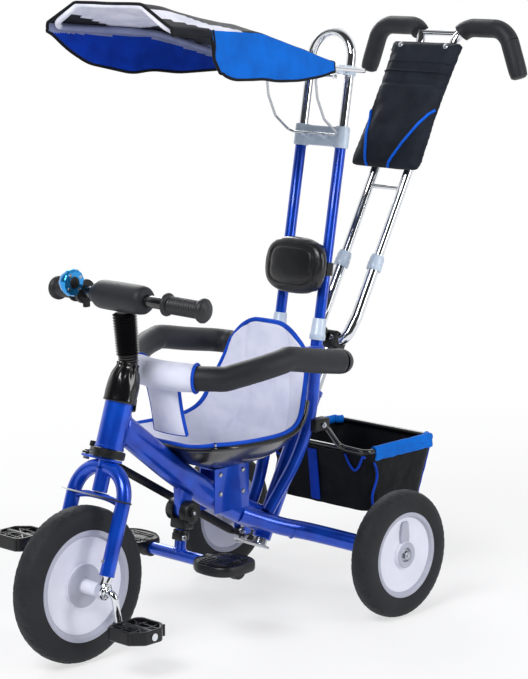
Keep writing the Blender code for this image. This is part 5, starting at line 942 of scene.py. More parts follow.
# Push handle's stem
# A zinc plated bar that turns in the frame's socket; a pressed arm under it carries the steering link's bolt.
LINK_RISE = 0.047 * sin(radians(30)) * sin(HANDLE_LEAN - HEAD_ANGLE)
ARM_S = -0.0035 - 0.00175 - LINK_RISE - 0.0004 - 0.002
bm = bmesh.new()
rod(bm, grip_line(ARM_S), grip_line(0.352), 0.0122, 0, 36)
arm = [(0.0142, -0.0125), (0.0142, 0.0125), (0.012, 0.0140), (-0.012, 0.0145), (-0.047, 0.0075), (-0.0525, 0.0055),
       (-0.0545, 0.002), (-0.0545, -0.002), (-0.0525, -0.0055), (-0.047, -0.0075), (-0.012, -0.0145), (0.012, -0.0140)]
plate(bm, arm, 0.004, grip_line(ARM_S), SIDE, HANDLE_FWD, 0, 0.0006)
nut = ARM_S - 0.0050
bolt_top = -0.0035 + 0.00175 + LINK_RISE + 0.0004 - nut
turned(bm, [(0.0002, 0.0042), (0.0006, 0.0052), (0.0034, 0.0052), (0.0040, 0.0046)], grip_line(nut, -0.047),
       HANDLE_DIR, 0, 6)
turned(bm, [(0.0, 0.0029), (bolt_top, 0.0030), (bolt_top, 0.0060), (bolt_top + 0.0006, 0.0062),
            (bolt_top + 0.0022, 0.0062),
            (bolt_top + 0.0030, 0.0052)], grip_line(nut, -0.047), HANDLE_DIR, 0, 24)
piece("handle_stem_bar", bm, [zinc], "push_handle", ["handle_stem"])

# Seat
# A blown black shell bolted to the bracket, under a quilted polyester liner bound with blue piping.
pan_black, tree, shader, place = new_finish("black_blown_polyethylene", "#0A0B0D", 0.24, Coat_Weight=0.35,
                                            Coat_Roughness=0.10)
orange = add(tree, 'TexNoise', {"Vector": place, "Scale": 120.0, "Detail": 2.0})
orange_bump = add(tree, 'Bump', {"Strength": 0.10, "Distance": 0.0006, "Height": orange.outputs["Fac"]})
tree.links.new(orange_bump.outputs["Normal"], shader.inputs["Normal"])


def cloth(name, colour, deep, roughness, ribs=620.0, fuzz=0.25):
    """Plain woven cloth: threads near 1 mm, drawn coarse, with soft creases; the colour goes to deep in the creases'
    hollows, a painted shade.
    """
    mat, tree, shader, place = new_finish(name, colour, roughness, Sheen_Weight=fuzz * 0.25, Sheen_Roughness=0.4,
                                            Specular_IOR_Level=0.12)
    warp = add(tree, 'TexWave', {"Vector": place, "Scale": ribs / 4, "Distortion": 0.6}, bands_direction='X')
    weft = add(tree, 'TexWave', {"Vector": place, "Scale": ribs / 4, "Distortion": 0.6}, bands_direction='Z')
    cross = add(tree, 'Math', {0: warp.outputs["Fac"], 1: weft.outputs["Fac"]}, operation='MULTIPLY')
    crease = add(tree, 'TexNoise', {"Vector": place, "Scale": 26.0, "Detail": 4.0, "Roughness": 0.55})
    fine = add(tree, 'Bump', {"Strength": 0.18, "Distance": 0.0003, "Height": cross.outputs[0]})
    soft = add(tree, 'Bump', {"Strength": 0.30, "Distance": 0.0035, "Height": crease.outputs["Fac"],
                              "Normal": fine.outputs["Normal"]})
    tree.links.new(soft.outputs["Normal"], shader.inputs["Normal"])
    # Painted shade: the crease noise that makes the bump also darkens the colour towards deep in its hollows.
    tone = add(tree, 'ValToRGB', {"Fac": crease.outputs["Fac"]})
    tone.color_ramp.elements[0].position = 0.30
    tone.color_ramp.elements[0].color = linear(deep)
    tone.color_ramp.elements[1].position = 0.62
    tone.color_ramp.elements[1].color = linear(colour)
    tree.links.new(tone.outputs["Color"], shader.inputs["Base Color"])
    return mat


liner_cloth = cloth("pale_lilac_polyester", "#DDDFEE", "#CDD0E4", 0.72)
piping_blue = cloth("royal_blue_binding", "#0F4AC0", "#0A3CA6", 0.55)

SPINE = [at(0, -0.331, 0.321), at(0, -0.303, 0.293), at(0, -0.245, 0.283), at(0, -0.175, 0.283),
         at(0, -0.129, 0.299), at(0, -0.108, 0.345), at(0, -0.1025, 0.413), at(0, -0.1015, 0.497)]
EDGE = [Vector((0, y, z)) for y, z in ((0, 0.013), (0, 0.040), (0, 0.048), (-0.008, 0.050), (-0.018, 0.050),
                                       (-0.018, 0.042), (-0.004, 0.020), (0, -0.017))]
WIDTH = [Vector((x, 0, 0)) for x in (0.86, 0.96, 1.0, 1.0, 0.97, 0.90, 0.80, 0.70)]


def seat_point(u, v, off=0.0):
    """u runs from the front edge over the seat and up the back, v from side to side, off stands off its face."""
    u = min(max(u, 0.0), 1.0)
    curl = (max(abs(v) - 0.30, 0.0) / 0.70) ** 1.6
    top_of = min(max((u - 0.80) / 0.20, 0.0), 1.0)
    drop = Vector((0, 0, -0.022 * top_of * top_of * abs(v) ** 3.2))
    here = catmull(SPINE, u) + SIDE * (0.118 * catmull(WIDTH, u).x * v) + catmull(EDGE, u) * curl + drop
    if off:
        a, b = (max(u - 0.01, 0.0), min(u + 0.01, 1.0))
        c, d = (max(v - 0.02, -1.0), min(v + 0.02, 1.0))
        ahead = seat_point(b, v) - seat_point(a, v)
        side = seat_point(u, d) - seat_point(u, c)
        here = here + side.cross(ahead).normalized() * off
    return here


def shell(bm, point, rows, cols, inner, outer, kind=lambda i, j: 0, under=0):
    """A closed thin shell over a grid; point(i, j, off) gives its places, inner and outer its two faces."""
    top = [[bm.verts.new(point(i / rows, j / cols, outer(i / rows, j / cols))) for j in range(cols + 1)]
           for i in range(rows + 1)]
    low = [[bm.verts.new(point(i / rows, j / cols, inner(i / rows, j / cols))) for j in range(cols + 1)]
           for i in range(rows + 1)]
    for i in range(rows):
        for j in range(cols):
            face = bm.faces.new((top[i][j], top[i][j + 1], top[i + 1][j + 1], top[i + 1][j]))
            face.material_index = kind(i / rows, j / cols)
            bm.faces.new((low[i][j], low[i + 1][j], low[i + 1][j + 1], low[i][j + 1])).material_index = under
    rim_top = top[0] + [r[-1] for r in top[1:]] + list(reversed(top[-1][:-1])) + [r[0] for r in reversed(top[1:-1])]
    rim_low = low[0] + [r[-1] for r in low[1:]] + list(reversed(low[-1][:-1])) + [r[0] for r in reversed(low[1:-1])]
    for k in range(len(rim_top)):
        n = (k + 1) % len(rim_top)
        bm.faces.new((rim_top[k], rim_top[n], rim_low[n], rim_low[k])).material_index = under
    return rim_top


def liner_face(u, v):
    """Quilted thickness: soft between the seams, pinched at them, with settled creases at the fold."""
    w = 2 * v - 1
    across = min(abs(abs(w) - 0.56), abs(abs(w) - 1.0)) / 0.44
    along = min(abs(u - 0.62), abs(u - 0.0), abs(u - 1.0)) / 0.30
    puff = 0.0042 * min(1.0, (across * 3.2) ** 0.5) * min(1.0, (along * 3.4) ** 0.5)
    crease = noise.noise(Vector((u * 9.0, w * 4.0, 1.3))) * 0.0011 + noise.noise(Vector((u * 22.0, w * 9.0,
                                                                                         4.1))) * 0.0005
    return 0.0016 + puff + crease * (1.2 if 0.35 < u < 0.8 else 0.7)


bm = bmesh.new()
shell(bm, lambda i, j, off: seat_point(i * 11 / 16, 2 * j - 1, off), 44, 44, lambda i, j: -0.0085, lambda i,
      j: -0.0040)
rim = [seat_point(t / 40 * 11 / 16, 1.0, -0.0062) for t in range(40, -1, -1)]
rim += [seat_point(0.0, 1.0 - t / 20 * 2, -0.0062) for t in range(1, 21)]
rim += [seat_point(t / 40 * 11 / 16, -1.0, -0.0062) for t in range(1, 41)]
tube(bm, rim, 0.0042, 0, 12)
for y in (-0.190, -0.226):
    turned(bm, [(0.0, 0.0118), (0.0005, 0.0122), (0.0088, 0.0126)], at(0, y, 0.2667), UP, 0, 28)
piece("seat_shell", bm, [pan_black], "frame", ["seat_pan"], sharp=50)

bm = bmesh.new()
shell(bm, lambda i, j, off: seat_point(i, 2 * j - 1, off), 90, 64, lambda i, j: -0.0030, liner_face)
for side_v in (-0.56, 0.56):
    stitch = [seat_point(0.04 + 0.92 * t / 70, side_v, 0.0020) for t in range(71)]
    tube(bm, stitch, 0.0007, 0, 6)
edge_line = [seat_point(t / 60, 1.0, 0.0006) for t in range(61)]
edge_line += [seat_point(1.0, 1.0 - t / 24 * 2, 0.0006) for t in range(1, 25)]
edge_line += [seat_point(1.0 - t / 60, -1.0, 0.0006) for t in range(1, 61)]
edge_line += [seat_point(0.0, -1.0 + t / 24 * 2, 0.0006) for t in range(1, 24)]
tube(bm, edge_line + edge_line[:1], 0.0042, 1, 12, caps=False)
seat_quilt = piece("seat_quilt", bm, [liner_cloth, piping_blue], "frame", ["seat_liner"], sharp=60)

# Guard rail
# A bent steel tube in closed-cell foam that lifts on two collars; a quilted cover closes round its front and comes
# down to the seat as a panel.


def rail_line(steps=14):
    """The rail's left half, from its lug to the middle of its front."""
    corner = [at(0.058, -0.064, 0.440), at(0.150, -0.064, 0.440), at(0.150, -0.150, 0.454), at(0.150, -0.208, 0.465)]
    half = rounded(corner[:2] + [corner[2]], 0.030, 8)[:-1] + [corner[2], corner[3]]
    for i in range(1, steps + 1):
        t = pi / 2 * i / steps
        fall = 0.024 * min(i / steps * 2.0, 1.0) ** 1.3
        half.append(at(0.150 * cos(t), -0.208 - 0.150 * sin(t), 0.465 - fall))
    return half


half_rail = rail_line()
full_rail = half_rail + [Vector((-p.x, p.y, p.z)) for p in reversed(half_rail[:-1])]
rail_curve = smooth(full_rail, 150)
foam_curve = [p for p in rail_curve if abs(p.x) > 0.076 or p.y < at(0, -0.11, 0).y]
bm = bmesh.new()
ends = [0.50, 0.80, 0.94] + [1.0] * (len(foam_curve) - 6) + [0.94, 0.80, 0.50]
tube(bm, foam_curve, 0.0205, 0, 40, ends)
foam_rail = piece("guard_rail_foam_sleeve", bm, [nbr_foam], "guard_rail", ["guard_rail_foam"])
for slot_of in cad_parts["guard_rail_tube"].material_slots:
    slot_of.material = zinc

middle = [p for p in rail_curve if p.y < at(0, -0.3405, 0).y]
bm = bmesh.new()
wrap = []
for k, p in enumerate(middle):
    e = min(k, len(middle) - 1 - k) / 4
    wrap.append(0.955 + 0.045 * min(e, 1.0))
tube(bm, middle, 0.0236, 0, 44, wrap)
for k in (0, -1):
    ahead = (middle[1] - middle[0]).normalized() if k == 0 else (middle[-2] - middle[-1]).normalized()
    u = (UP - ahead * UP.dot(ahead)).normalized()
    v = ahead.cross(u)
    hoop = [middle[k] + ahead * 0.0015 + (u * cos(2 * pi * i / 36) + v * sin(2 * pi * i / 36)) * 0.0228
            for i in range(37)]
    tube(bm, hoop, 0.0028, 1, 10, caps=False)


def panel_point(s, w, off):
    """The cover's panel, s down it and w across."""
    half = 0.037 * (1.0 - 0.06 * sin(pi * s))
    z = 0.4225 - (0.4225 - 0.341) * s
    x = half * (2 * w - 1)
    y = -0.358 + 0.002 + 0.018 * s + 0.006 * (2 * w - 1) ** 2
    return at(x, y - off, z)


def panel_face(s, w):
    edge = min(w, 1 - w, 1.2 * s + 0.02, 1.2 * (1 - s) + 0.02) * 5.0
    return 0.0022 + 0.0030 * min(1.0, edge) ** 0.5 + 0.0008 * noise.noise(Vector((s * 5, w * 4, 2.2)))


shell(bm, panel_point, 30, 22, lambda s, w: -0.0022, panel_face)
for w in (0.0, 1.0):
    tube(bm, [panel_point(s / 24, w, 0.0) for s in range(25)], 0.0031, 1, 12)
tube(bm, [panel_point(1.0, w / 16, 0.0) for w in range(17)], 0.0026, 1, 12)
cover = piece("guard_quilt", bm, [liner_cloth, piping_blue], "guard_rail", ["guard_cover"], sharp=60)

# Canopy poles, sleeves and clamp
# Enamelled tubes in moulded grey sleeves on the frame's posts; a grey clamp joins their tops and grips the arch.
grey_nylon, tree, shader, place = new_finish("grey_moulded_nylon", "#C3D1E0", 0.34, Subsurface_Weight=0.15,
                                             Coat_Weight=0.25, Coat_Roughness=0.2)
shader.inputs["Subsurface Radius"].default_value = (0.004, 0.004, 0.005)
flow = add(tree, 'TexNoise', {"Vector": place, "Scale": 60.0, "Detail": 3.0})
flow_bump = add(tree, 'Bump', {"Strength": 0.08, "Distance": 0.0008, "Height": flow.outputs["Fac"]})
tree.links.new(flow_bump.outputs["Normal"], shader.inputs["Normal"])
flow_tone = add(tree, 'ValToRGB', {"Fac": flow.outputs["Fac"]})
flow_tone.color_ramp.elements[0].color = linear("#B3C3D6")
flow_tone.color_ramp.elements[1].color = linear("#CDD9E6")
tree.links.new(flow_tone.outputs["Color"], shader.inputs["Base Color"])

for sign, side in ((1, "left"), (-1, "right")):
    x = sign * 0.0455
    bm = bmesh.new()
    turned(bm, [(0.0003, 0.0088), (0.0010, 0.0095), (0.3552, 0.0095), (0.3560, 0.0090), (0.3560, 0.0086),
                (0.3400, 0.0085), (0.0003, 0.0085)], pole(0, x), POLE_DIR, 0, 32, ring=True)
    piece(f"canopy_pole_tube_{side}", bm, [enamel], "frame", [f"canopy_pole_{side}"])
    bm = bmesh.new()
    turned(bm, [(-0.006, 0.0112), (-0.006, 0.0134), (-0.0050, 0.0138), (0.0030, 0.0138), (0.0040, 0.0130),
                (0.0290, 0.0115), (0.0305, 0.0110), (0.0310, 0.0104), (0.0310, 0.0098), (0.0006, 0.0098),
                (-0.0004, 0.0111)], pole(0, x), POLE_DIR, 0, 36, ring=True)
    piece(f"pole_sleeve_mould_{side}", bm, [grey_nylon], "frame", [f"pole_sleeve_{side}"])

bm = bmesh.new()
block(bm, (0.078, 0.0125, 0.034), pole(0.3405), SIDE, POLE_DIR, 0.002)
for x in (-0.022, 0.022):
    block(bm, (0.030, 0.0030, 0.024), pole(0.3405, x, 0.0052), SIDE, POLE_DIR, 0.001)
for sign in (1, -1):
    turned(bm,
           [(0.322, 0.0098), (0.322, 0.0120), (0.3228, 0.0128), (0.3560, 0.0128), (0.3586, 0.0120), (0.3590, 0.0112),
                (0.3590, 0.0085), (0.3564, 0.0085), (0.3564, 0.0098)], pole(0, sign * 0.0455), POLE_DIR, 0, 36,
                ring=True)
    turned(bm, [(0.010, 0.0045), (0.0150, 0.0045), (0.0158, 0.0036)], pole(0.3405, sign * 0.0455), -POLE_FWD, 1, 18)
stay_foot = pole(0.343, 0, 0.0205)
for x in (-0.020, 0.020):
    arc = [radians(200 + 10 * i) for i in range(19)]
    outline = [(0.0064 * cos(t), 0.0064 * sin(t)) for t in arc]
    outline += [(0.0030 * cos(t), 0.0030 * sin(t)) for t in reversed(arc)]
    plate(bm, outline, 0.007, stay_foot + SIDE * x, -POLE_FWD, POLE_DIR, 0, 0.0005)
    block(bm, (0.0072, 0.0140, 0.0085), stay_foot + SIDE * x - POLE_FWD * 0.0122 - POLE_DIR * 0.0026, SIDE, POLE_DIR,
          0.0012)
piece("pole_clamp_mould", bm, [grey_nylon, zinc], "frame", ["pole_clamp"])

# Headrest
# A foam pad covered in black vinyl, sewn with a raised rectangular panel, strapped to a moulded bracket on the poles.
vinyl, tree, shader, place = new_finish("black_coated_vinyl", "#0F1014", 0.34, Coat_Weight=0.25, Coat_Roughness=0.22)
leather = add(tree, 'TexVoronoi', {"Vector": place, "Scale": 520.0})      # grain near 2 mm
pull = add(tree, 'TexNoise', {"Vector": place, "Scale": 34.0, "Detail": 3.0})
leather_bump = add(tree, 'Bump', {"Strength": 0.20, "Distance": 0.0004, "Height": leather.outputs["Distance"]})
pull_bump = add(tree, 'Bump', {"Strength": 0.35, "Distance": 0.003, "Height": pull.outputs["Fac"],
                               "Normal": leather_bump.outputs["Normal"]})
tree.links.new(pull_bump.outputs["Normal"], shader.inputs["Normal"])


def stuffed(bm, voxel, cap):
    """Puff a closed shape as a sewn cover does over its filling: cloth under pressure, each point held to cap."""
    mesh = bpy.data.meshes.new("stuffing")
    bmesh.ops.recalc_face_normals(bm, faces=bm.faces[:])
    bm.to_mesh(mesh)
    bm.free()
    form = bpy.data.objects.new("stuffing", mesh)
    bpy.context.scene.collection.objects.link(form)
    remesh = form.modifiers.new("voxels", 'REMESH')
    remesh.mode = 'VOXEL'
    remesh.voxel_size = voxel
    shaped = bpy.data.meshes.new_from_object(form.evaluated_get(bpy.context.evaluated_depsgraph_get()))
    form.modifiers.clear()
    form.data = shaped
    before = [v.co.copy() for v in shaped.vertices]
    cover_of = form.modifiers.new("cover", 'CLOTH')
    cover_of.settings.use_pressure = True
    cover_of.settings.uniform_pressure_force = 4.0
    cover_of.settings.effector_weights.gravity = 0.0
    cover_of.point_cache.frame_start = 1
    cover_of.point_cache.frame_end = 20
    for step in range(1, 21):
        bpy.context.scene.frame_set(step)
    swollen = bpy.data.meshes.new_from_object(form.evaluated_get(bpy.context.evaluated_depsgraph_get()))
    bpy.data.objects.remove(form)
    bpy.context.scene.frame_set(1)
    for vertex, old in zip(swollen.vertices, before):
        move = vertex.co - old
        if move.length > cap:
            vertex.co = old + move.normalized() * cap
    made = bmesh.new()
    made.from_mesh(swollen)
    bmesh.ops.smooth_vert(made, verts=made.verts[:], factor=0.5, use_axis_x=True, use_axis_y=True, use_axis_z=True)
    bmesh.ops.subdivide_edges(made, edges=made.edges[:], cuts=1, smooth=0.5, use_grid_fill=True)
    return made


HEADREST = pole(0.116, 0, 0.0262)
bm = bmesh.new()
rings = []
for k, deep in ((0.80, -0.0120), (0.93, -0.0105), (0.985, -0.0055), (1.0, 0.0), (0.975, 0.0060), (0.92, 0.0105),
                (0.78, 0.0135),
                (0.40, 0.0155)):
    ring = []
    for i in range(72):
        p, q = cos(2 * pi * i / 72), sin(2 * pi * i / 72)
        m = (abs(p) ** 2.7 + abs(q) ** 2.7) ** (1 / 2.7)
        ring.append(bm.verts.new(HEADREST + SIDE * (0.0670 * k * p / m) + POLE_DIR * (0.0490 * k * q / m) + POLE_FWD
                                 * deep))
    rings.append(ring)
skin(bm, rings)
bm.faces.new(rings[0])
bm.faces.new(rings[-1])
bm = stuffed(bm, 0.005, 0.005)
for vertex in bm.verts:
    off = vertex.co - HEADREST
    a, b, c = off.dot(SIDE), off.dot(POLE_DIR), off.dot(POLE_FWD)
    if c < -0.004:
        vertex.co += POLE_FWD * (-0.0135 - c) * 0.6 * (1 if abs(a) < 0.055 and abs(b) < 0.040 else 0)
    if c > 0.004:
        ridge = ((a / 0.047) ** 4 + (b / 0.031) ** 4) ** 0.25
        vertex.co -= POLE_FWD * 0.0016 * max(0.0, 1 - abs(ridge - 1) / 0.09)
pad = piece("headrest_cushion", bm, [vinyl], "frame", ["headrest_pad"], sharp=60)
for slot_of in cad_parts["headrest_bracket"].material_slots:
    slot_of.material = abs_black
for slot_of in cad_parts["arch_bracket"].material_slots:
    slot_of.material = grey_nylon

# Basket
# A bag of black nylon hung in a bent wire rim behind the seat, its openings and straps bound in blue.
black_nylon = cloth("black_nylon_cloth", "#131519", "#0C0D10", 0.58, 700.0, 0.3)
strap_blue = cloth("royal_blue_webbing", "#1046C4", "#0B39A4", 0.55, 900.0, 0.2)
band_blue = cloth("bright_blue_nylon", "#006CD2", "#005EBC", 0.56, 700.0, 0.0)


def tub_ring(t, inset=0.0, sag=1.0, count=96):
    """The bag's outline at a height: t runs from the floor (0) to the rim (1)."""
    front = 0.022 + 0.012 * (1 - t) + inset
    back = 0.022 + 0.190 - 0.032 * (1 - t) - inset
    half = 0.118 - 0.007 * (1 - t) - inset
    corner = 0.018 - inset
    z = 0.156 + 0.102 * t
    ring = []
    for i in range(count):
        a = 2 * pi * i / count
        p, q = cos(a), sin(a)
        m = (abs(p) ** 9 + abs(q) ** 9) ** (1 / 9)
        x = half * p / m
        y = (front + back) / 2 + (back - front) / 2 * q / m
        slack = 0.0030 * sin(pi * t) * (0.55 + noise.noise(Vector((p * 3.0, q * 3.0, t * 2.6)))) * sag
        fold = 0.0014 * noise.noise(Vector((p * 9, q * 9, t * 7 + 2.0))) * sag
        length = sqrt(p * p + q * q)
        ring.append(at(x - (slack + fold) * p / length, y - (slack + fold) * q / length,
                       z - 0.0016 * sin(pi * t) + 0.0010 * noise.noise(Vector((p * 5, q * 5, 8.0)))))
    return ring


bm = bmesh.new()
levels = [i / 22 for i in range(23)]
outside = [[bm.verts.new(p) for p in tub_ring(t)] for t in levels]
inside = [[bm.verts.new(p) for p in tub_ring(t, 0.0034)] for t in [0.035] + levels[1:]]
skin(bm, outside)
skin(bm, inside)
skin(bm, [outside[-1], inside[-1]])
for rings, z in ((outside, 0.156), (inside, 0.160)):
    ring = rings[0]
    centre = sum((v.co for v in ring), Vector()) / len(ring)
    last = ring
    for k in (0.75, 0.5, 0.25):
        inner_ring = []
        for v in ring:
            flat = centre + (v.co - centre) * k
            flat.z = z + 0.0006 * noise.noise(flat * 30)
            inner_ring.append(bm.verts.new(flat))
        skin(bm, [last, inner_ring])
        last = inner_ring
    bm.faces.new(last)


def on_front(x, t, off=0.0016):
    """A place on the basket's front face."""
    return at(x, 0.022 + 0.012 * (1 - t) - off, 0.156 + 0.102 * t)


def on_left(y, t, off=0.0016):
    """A place on the basket's left side."""
    return at(0.118 - 0.007 * (1 - t) + off, y, 0.156 + 0.102 * t)


def tape(path, width_dir, width, kind, thick=0.0016):
    """A flat binding or strap laid along a path."""
    section = [(width / 2 * cos(a), thick * sin(a)) for a in [2 * pi * i / 12 for i in range(12)]]
    sweep(bm, path, section, kind, width_dir)


tape([on_front(-0.010, t / 20, 0.0012) for t in range(1, 20)], SIDE, 0.022, 1)
flap = [on_front(0.068 + 0.046 * t / 24, 0.98 - 0.26 * sin(pi * min(t / 24 * 1.15, 1.0)), 0.0018) for t in range(25)]
tube(bm, flap, 0.0022, 1, 10)
flap = [Vector((-p.x, p.y, p.z)) for p in flap]
tube(bm, flap, 0.0022, 1, 10)
wavy = [on_left(0.040 + 0.007 * sin(t / 24 * 2 * pi) + 0.010 * t / 24, 0.86 - 0.84 * t / 24,
                0.0015) for t in range(25)]
tube(bm, wavy, 0.0022, 1, 10)
tube(bm, [Vector((-p.x, p.y, p.z)) for p in wavy], 0.0022, 1, 10)
for corner in (12, 36):
    tube(bm, [tub_ring(t / 20)[corner] for t in range(21)], 0.0022, 1, 10)
basket_bag = piece("basket_bag", bm, [black_nylon, strap_blue], "frame", ["basket"], sharp=60)

bm = bmesh.new()
rim_line = rounded([at(0.062, -0.027, 0.3152), at(0.062, 0.014, 0.2682), at(0.112, 0.026, 0.2632),
                    at(0.112, 0.206, 0.2632),
                    at(-0.112, 0.206, 0.2632), at(-0.112, 0.026, 0.2632), at(-0.062, 0.014, 0.2682),
                    at(-0.062, -0.027, 0.3152)], 0.016, 8)
tube(bm, rim_line, 0.0048, 0, 20)
rod(bm, at(-0.090, 0.027, 0.2632), at(0.090, 0.027, 0.2632), 0.0042, 0, 20)
for sign in (1, -1):
    block(bm, (0.020, 0.036, 0.022), at(sign * 0.0565, -0.034, 0.3152), SIDE, UP, 0.003, 1)
    turned(bm, [(0.0, 0.0052), (0.0024, 0.0052), (0.0034, 0.0042)], at(sign * 0.0668, -0.034, 0.3152), SIDE * sign, 2,
           22)
    turned(bm, [(0.0030, 0.0030), (0.0052, 0.0028)], at(sign * 0.0668, -0.034, 0.3152), SIDE * sign, 2, 6)
piece("basket_wire", bm, [paint_black, abs_black, zinc], "frame", ["basket_frame"])

bm = bmesh.new()
cuff = [at(0.112, 0.046 + (0.198 - 0.046) * t / 30, 0.2632) for t in range(31)]
cuff += [at(0.112 - 0.012 * sin(a), 0.194 + 0.012 * (1 - cos(a)) * 0.9, 0.2632) for a in (0.5, 1.0, 1.5)]
scales = [1.0 + 0.10 * noise.noise(Vector((k * 0.35, 0.4, 0.9))) for k in range(len(cuff))]
sweep(bm, cuff, [(0.0066 * cos(2 * pi * i / 20), 0.0078 * sin(2 * pi * i / 20) - 0.0006) for i in range(20)], 0, SIDE,
      scales)
tape([at(0.1172, 0.046 + 0.152 * t / 30, 0.2550 - 0.0020 * noise.noise(Vector((t * 0.4, 0, 0)))) for t in range(31)],
     UP,
     0.016, 0, 0.0012)
cuff_left = piece("basket_cuff_left", bm, [band_blue], "frame", sharp=60)
bm = bmesh.new()
sweep(bm, [Vector((-p.x, p.y, p.z)) for p in cuff],
      [(0.0066 * cos(2 * pi * i / 20), 0.0078 * sin(2 * pi * i / 20) - 0.0006) for i in range(20)], 0, SIDE, scales)
tape([at(-0.1172, 0.046 + 0.152 * t / 30, 0.2550 - 0.0020 * noise.noise(Vector((t * 0.4, 0, 0)))) for t in range(31)],
     UP,
     0.016, 0, 0.0012)
cuff_right = piece("basket_cuff_right", bm, [band_blue], "frame", sharp=60)

# Push handle, lower part
# A moulded yoke on the stem takes a chromed U; collars with levers grip the sliding upper tubes.
bm = bmesh.new()
block(bm, (0.052, 0.034, 0.030), grip_line(0.3673, 0, 0.004), SIDE, HANDLE_DIR, 0.0045)
turned(bm, [(0, 0.0068), (0.0004, 0.0070), (0.006, 0.0070), (0.0072, 0.0112), (0.0082, 0.0122), (0.0155, 0.0122),
            (0.0170, 0.0112), (0.0186, 0.0095), (0.0190, 0.0060)], grip_line(0.3713, 0, 0.0213), HANDLE_FWD, 0, 40,
       wave=lambda s, t: 0.0006 * cos(8 * t) if s > 0.007 else 0.0)
for x in (-0.018, 0.018):
    turned(bm, [(0, 0.0040), (0.0020, 0.0040), (0.0028, 0.0030)], grip_line(0.3673, x, 0.0208), HANDLE_FWD, 1, 18)
piece("handle_yoke_mould", bm, [abs_black, zinc], "push_handle", ["handle_yoke"])

lower_u = [grip_line(0.524, 0.0381), grip_line(0.4173, 0.0381), grip_line(0.3693, 0.0341, 0.004)]
lower_u = rounded(lower_u + [Vector((-p.x, p.y, p.z)) for p in reversed(lower_u)], 0.020, 8)
bm = bmesh.new()
tube(bm, lower_u, 0.0105, 0, 28)
piece("handle_lower_bend", bm, [chrome], "push_handle", ["handle_lower_tube"])
for sign, side in ((1, "left"), (-1, "right")):
    bm = bmesh.new()
    turned(bm,
           [(0.505, 0.0108), (0.505, 0.0126), (0.5060, 0.0132), (0.5180, 0.0132), (0.5190, 0.0128), (0.5260, 0.0128),
                (0.5300, 0.0116), (0.5330, 0.0112), (0.5330, 0.0088), (0.5246, 0.0088), (0.5246, 0.0108)],
           grip_line(0, sign * 0.0381), HANDLE_DIR, 0, 36, ring=True)
    for s in (0.5085, 0.5155):
        turned(bm, [(s - 0.0008, 0.0130), (s - 0.0006, 0.0136), (s + 0.0006, 0.0136), (s + 0.0008, 0.0130)],
               grip_line(0, sign * 0.0381), HANDLE_DIR, 0, 36)
    piece(f"handle_collar_mould_{side}", bm, [grey_nylon], "push_handle", [f"handle_collar_{side}"])

# Push handle, upper part
# Chromed tubes that slide for the parent's height, bent out to two foam grips, with a cloth bag between them.
top = grip_line(0.979)
half_up = [grip_line(0.503, 0.0381), grip_line(0.979, 0.0381), Vector((0.144, top.y, top.z)),
           Vector((0.174, top.y, top.z - 0.082))]
bend_in = rounded(half_up[:3], 0.036, 10)
bend_out = rounded([Vector((0.088, top.y, top.z))] + half_up[2:], 0.062, 12)
horn = bend_in[:-1] + bend_out
bm = bmesh.new()
for sign in (1, -1):
    tube(bm, [Vector((sign * p.x, p.y, p.z)) for p in horn], 0.0085, 0, 28)
rod(bm, grip_line(0.967, -0.0381), grip_line(0.967, 0.0381), 0.0062, 0, 24)
rod(bm, grip_line(0.662, -0.0381), grip_line(0.662, 0.0381), 0.0040, 0, 20)
piece("handle_upper_bends", bm, [chrome], "push_handle_upper", ["handle_upper_tubes"])
grip_path = [p for p in smooth(horn[1:], 120) if p.x > 0.0461]
last = grip_path[-1] + (grip_path[-1] - grip_path[-2]).normalized() * 0.003
for sign, side in ((1, "left"), (-1, "right")):
    line = [Vector((sign * p.x, p.y, p.z)) for p in grip_path + [last]]
    sizes = [0.76, 0.92] + [1.0] * (len(line) - 5) + [0.98, 0.90, 0.66]
    bm = bmesh.new()
    tube(bm, line, 0.0165, 0, 36, sizes)
    grip_foam = piece(f"handle_grip_foam_{side}", bm, [nbr_foam], "push_handle_upper", [f"handle_grip_{side}"])

bag_cloth = cloth("charcoal_bag_polyester", "#20252F", "#171B23", 0.60, 640.0, 0.3)
bag_piping = cloth("bright_blue_piping", "#0B63E2", "#0954C4", 0.5, 900.0, 0.2)
BAG_F = 0.021


def bag_point(x, s, f=0.0):
    return grip_line(s, x, BAG_F + f)


bm = bmesh.new()
low_half, high_half, s0, s1 = 0.0800, 0.0850, 0.682, 0.943
rings = []
for k, depth in ((0.90, -0.0060), (0.985, -0.0045), (1.0, 0.0), (0.985, 0.0045), (0.90, 0.0060)):
    ring = []
    for i in range(80):
        a = 2 * pi * i / 80
        p, q = cos(a), sin(a)
        m = (abs(p) ** 22 + abs(q) ** 22) ** (1 / 22)
        s_mid, s_half = (s0 + s1) / 2, (s1 - s0) / 2
        along = q / m
        half = low_half + (high_half - low_half) * (along + 1) / 2
        ring.append(bm.verts.new(bag_point(half * p / m * k, s_mid + s_half * along * (1 - (1 - k) * 0.4), depth)))
    rings.append(ring)
skin(bm, rings)
bm.faces.new(rings[0])
bm.faces.new(rings[-1])
bm = stuffed(bm, 0.006, 0.006)
for vertex in bm.verts:
    off = vertex.co - bag_point(0, (s0 + s1) / 2)
    a, b, c = off.dot(SIDE), off.dot(HANDLE_DIR), off.dot(HANDLE_FWD)
    weight = max(0.0, 1 - abs(b + 0.075) / 0.075)
    vertex.co += HANDLE_FWD * (0.0016 * noise.noise(Vector((a * 34, b * 22,
                                                            3.0))) + 0.0012 * weight * (1 if c > 0 else -0.2))
    seam = max(0.0, 1 - abs(b - 0.038) / 0.005)
    if c > 0.002:
        vertex.co -= HANDLE_FWD * 0.0024 * seam
bag_face = BVHTree.FromBMesh(bm)


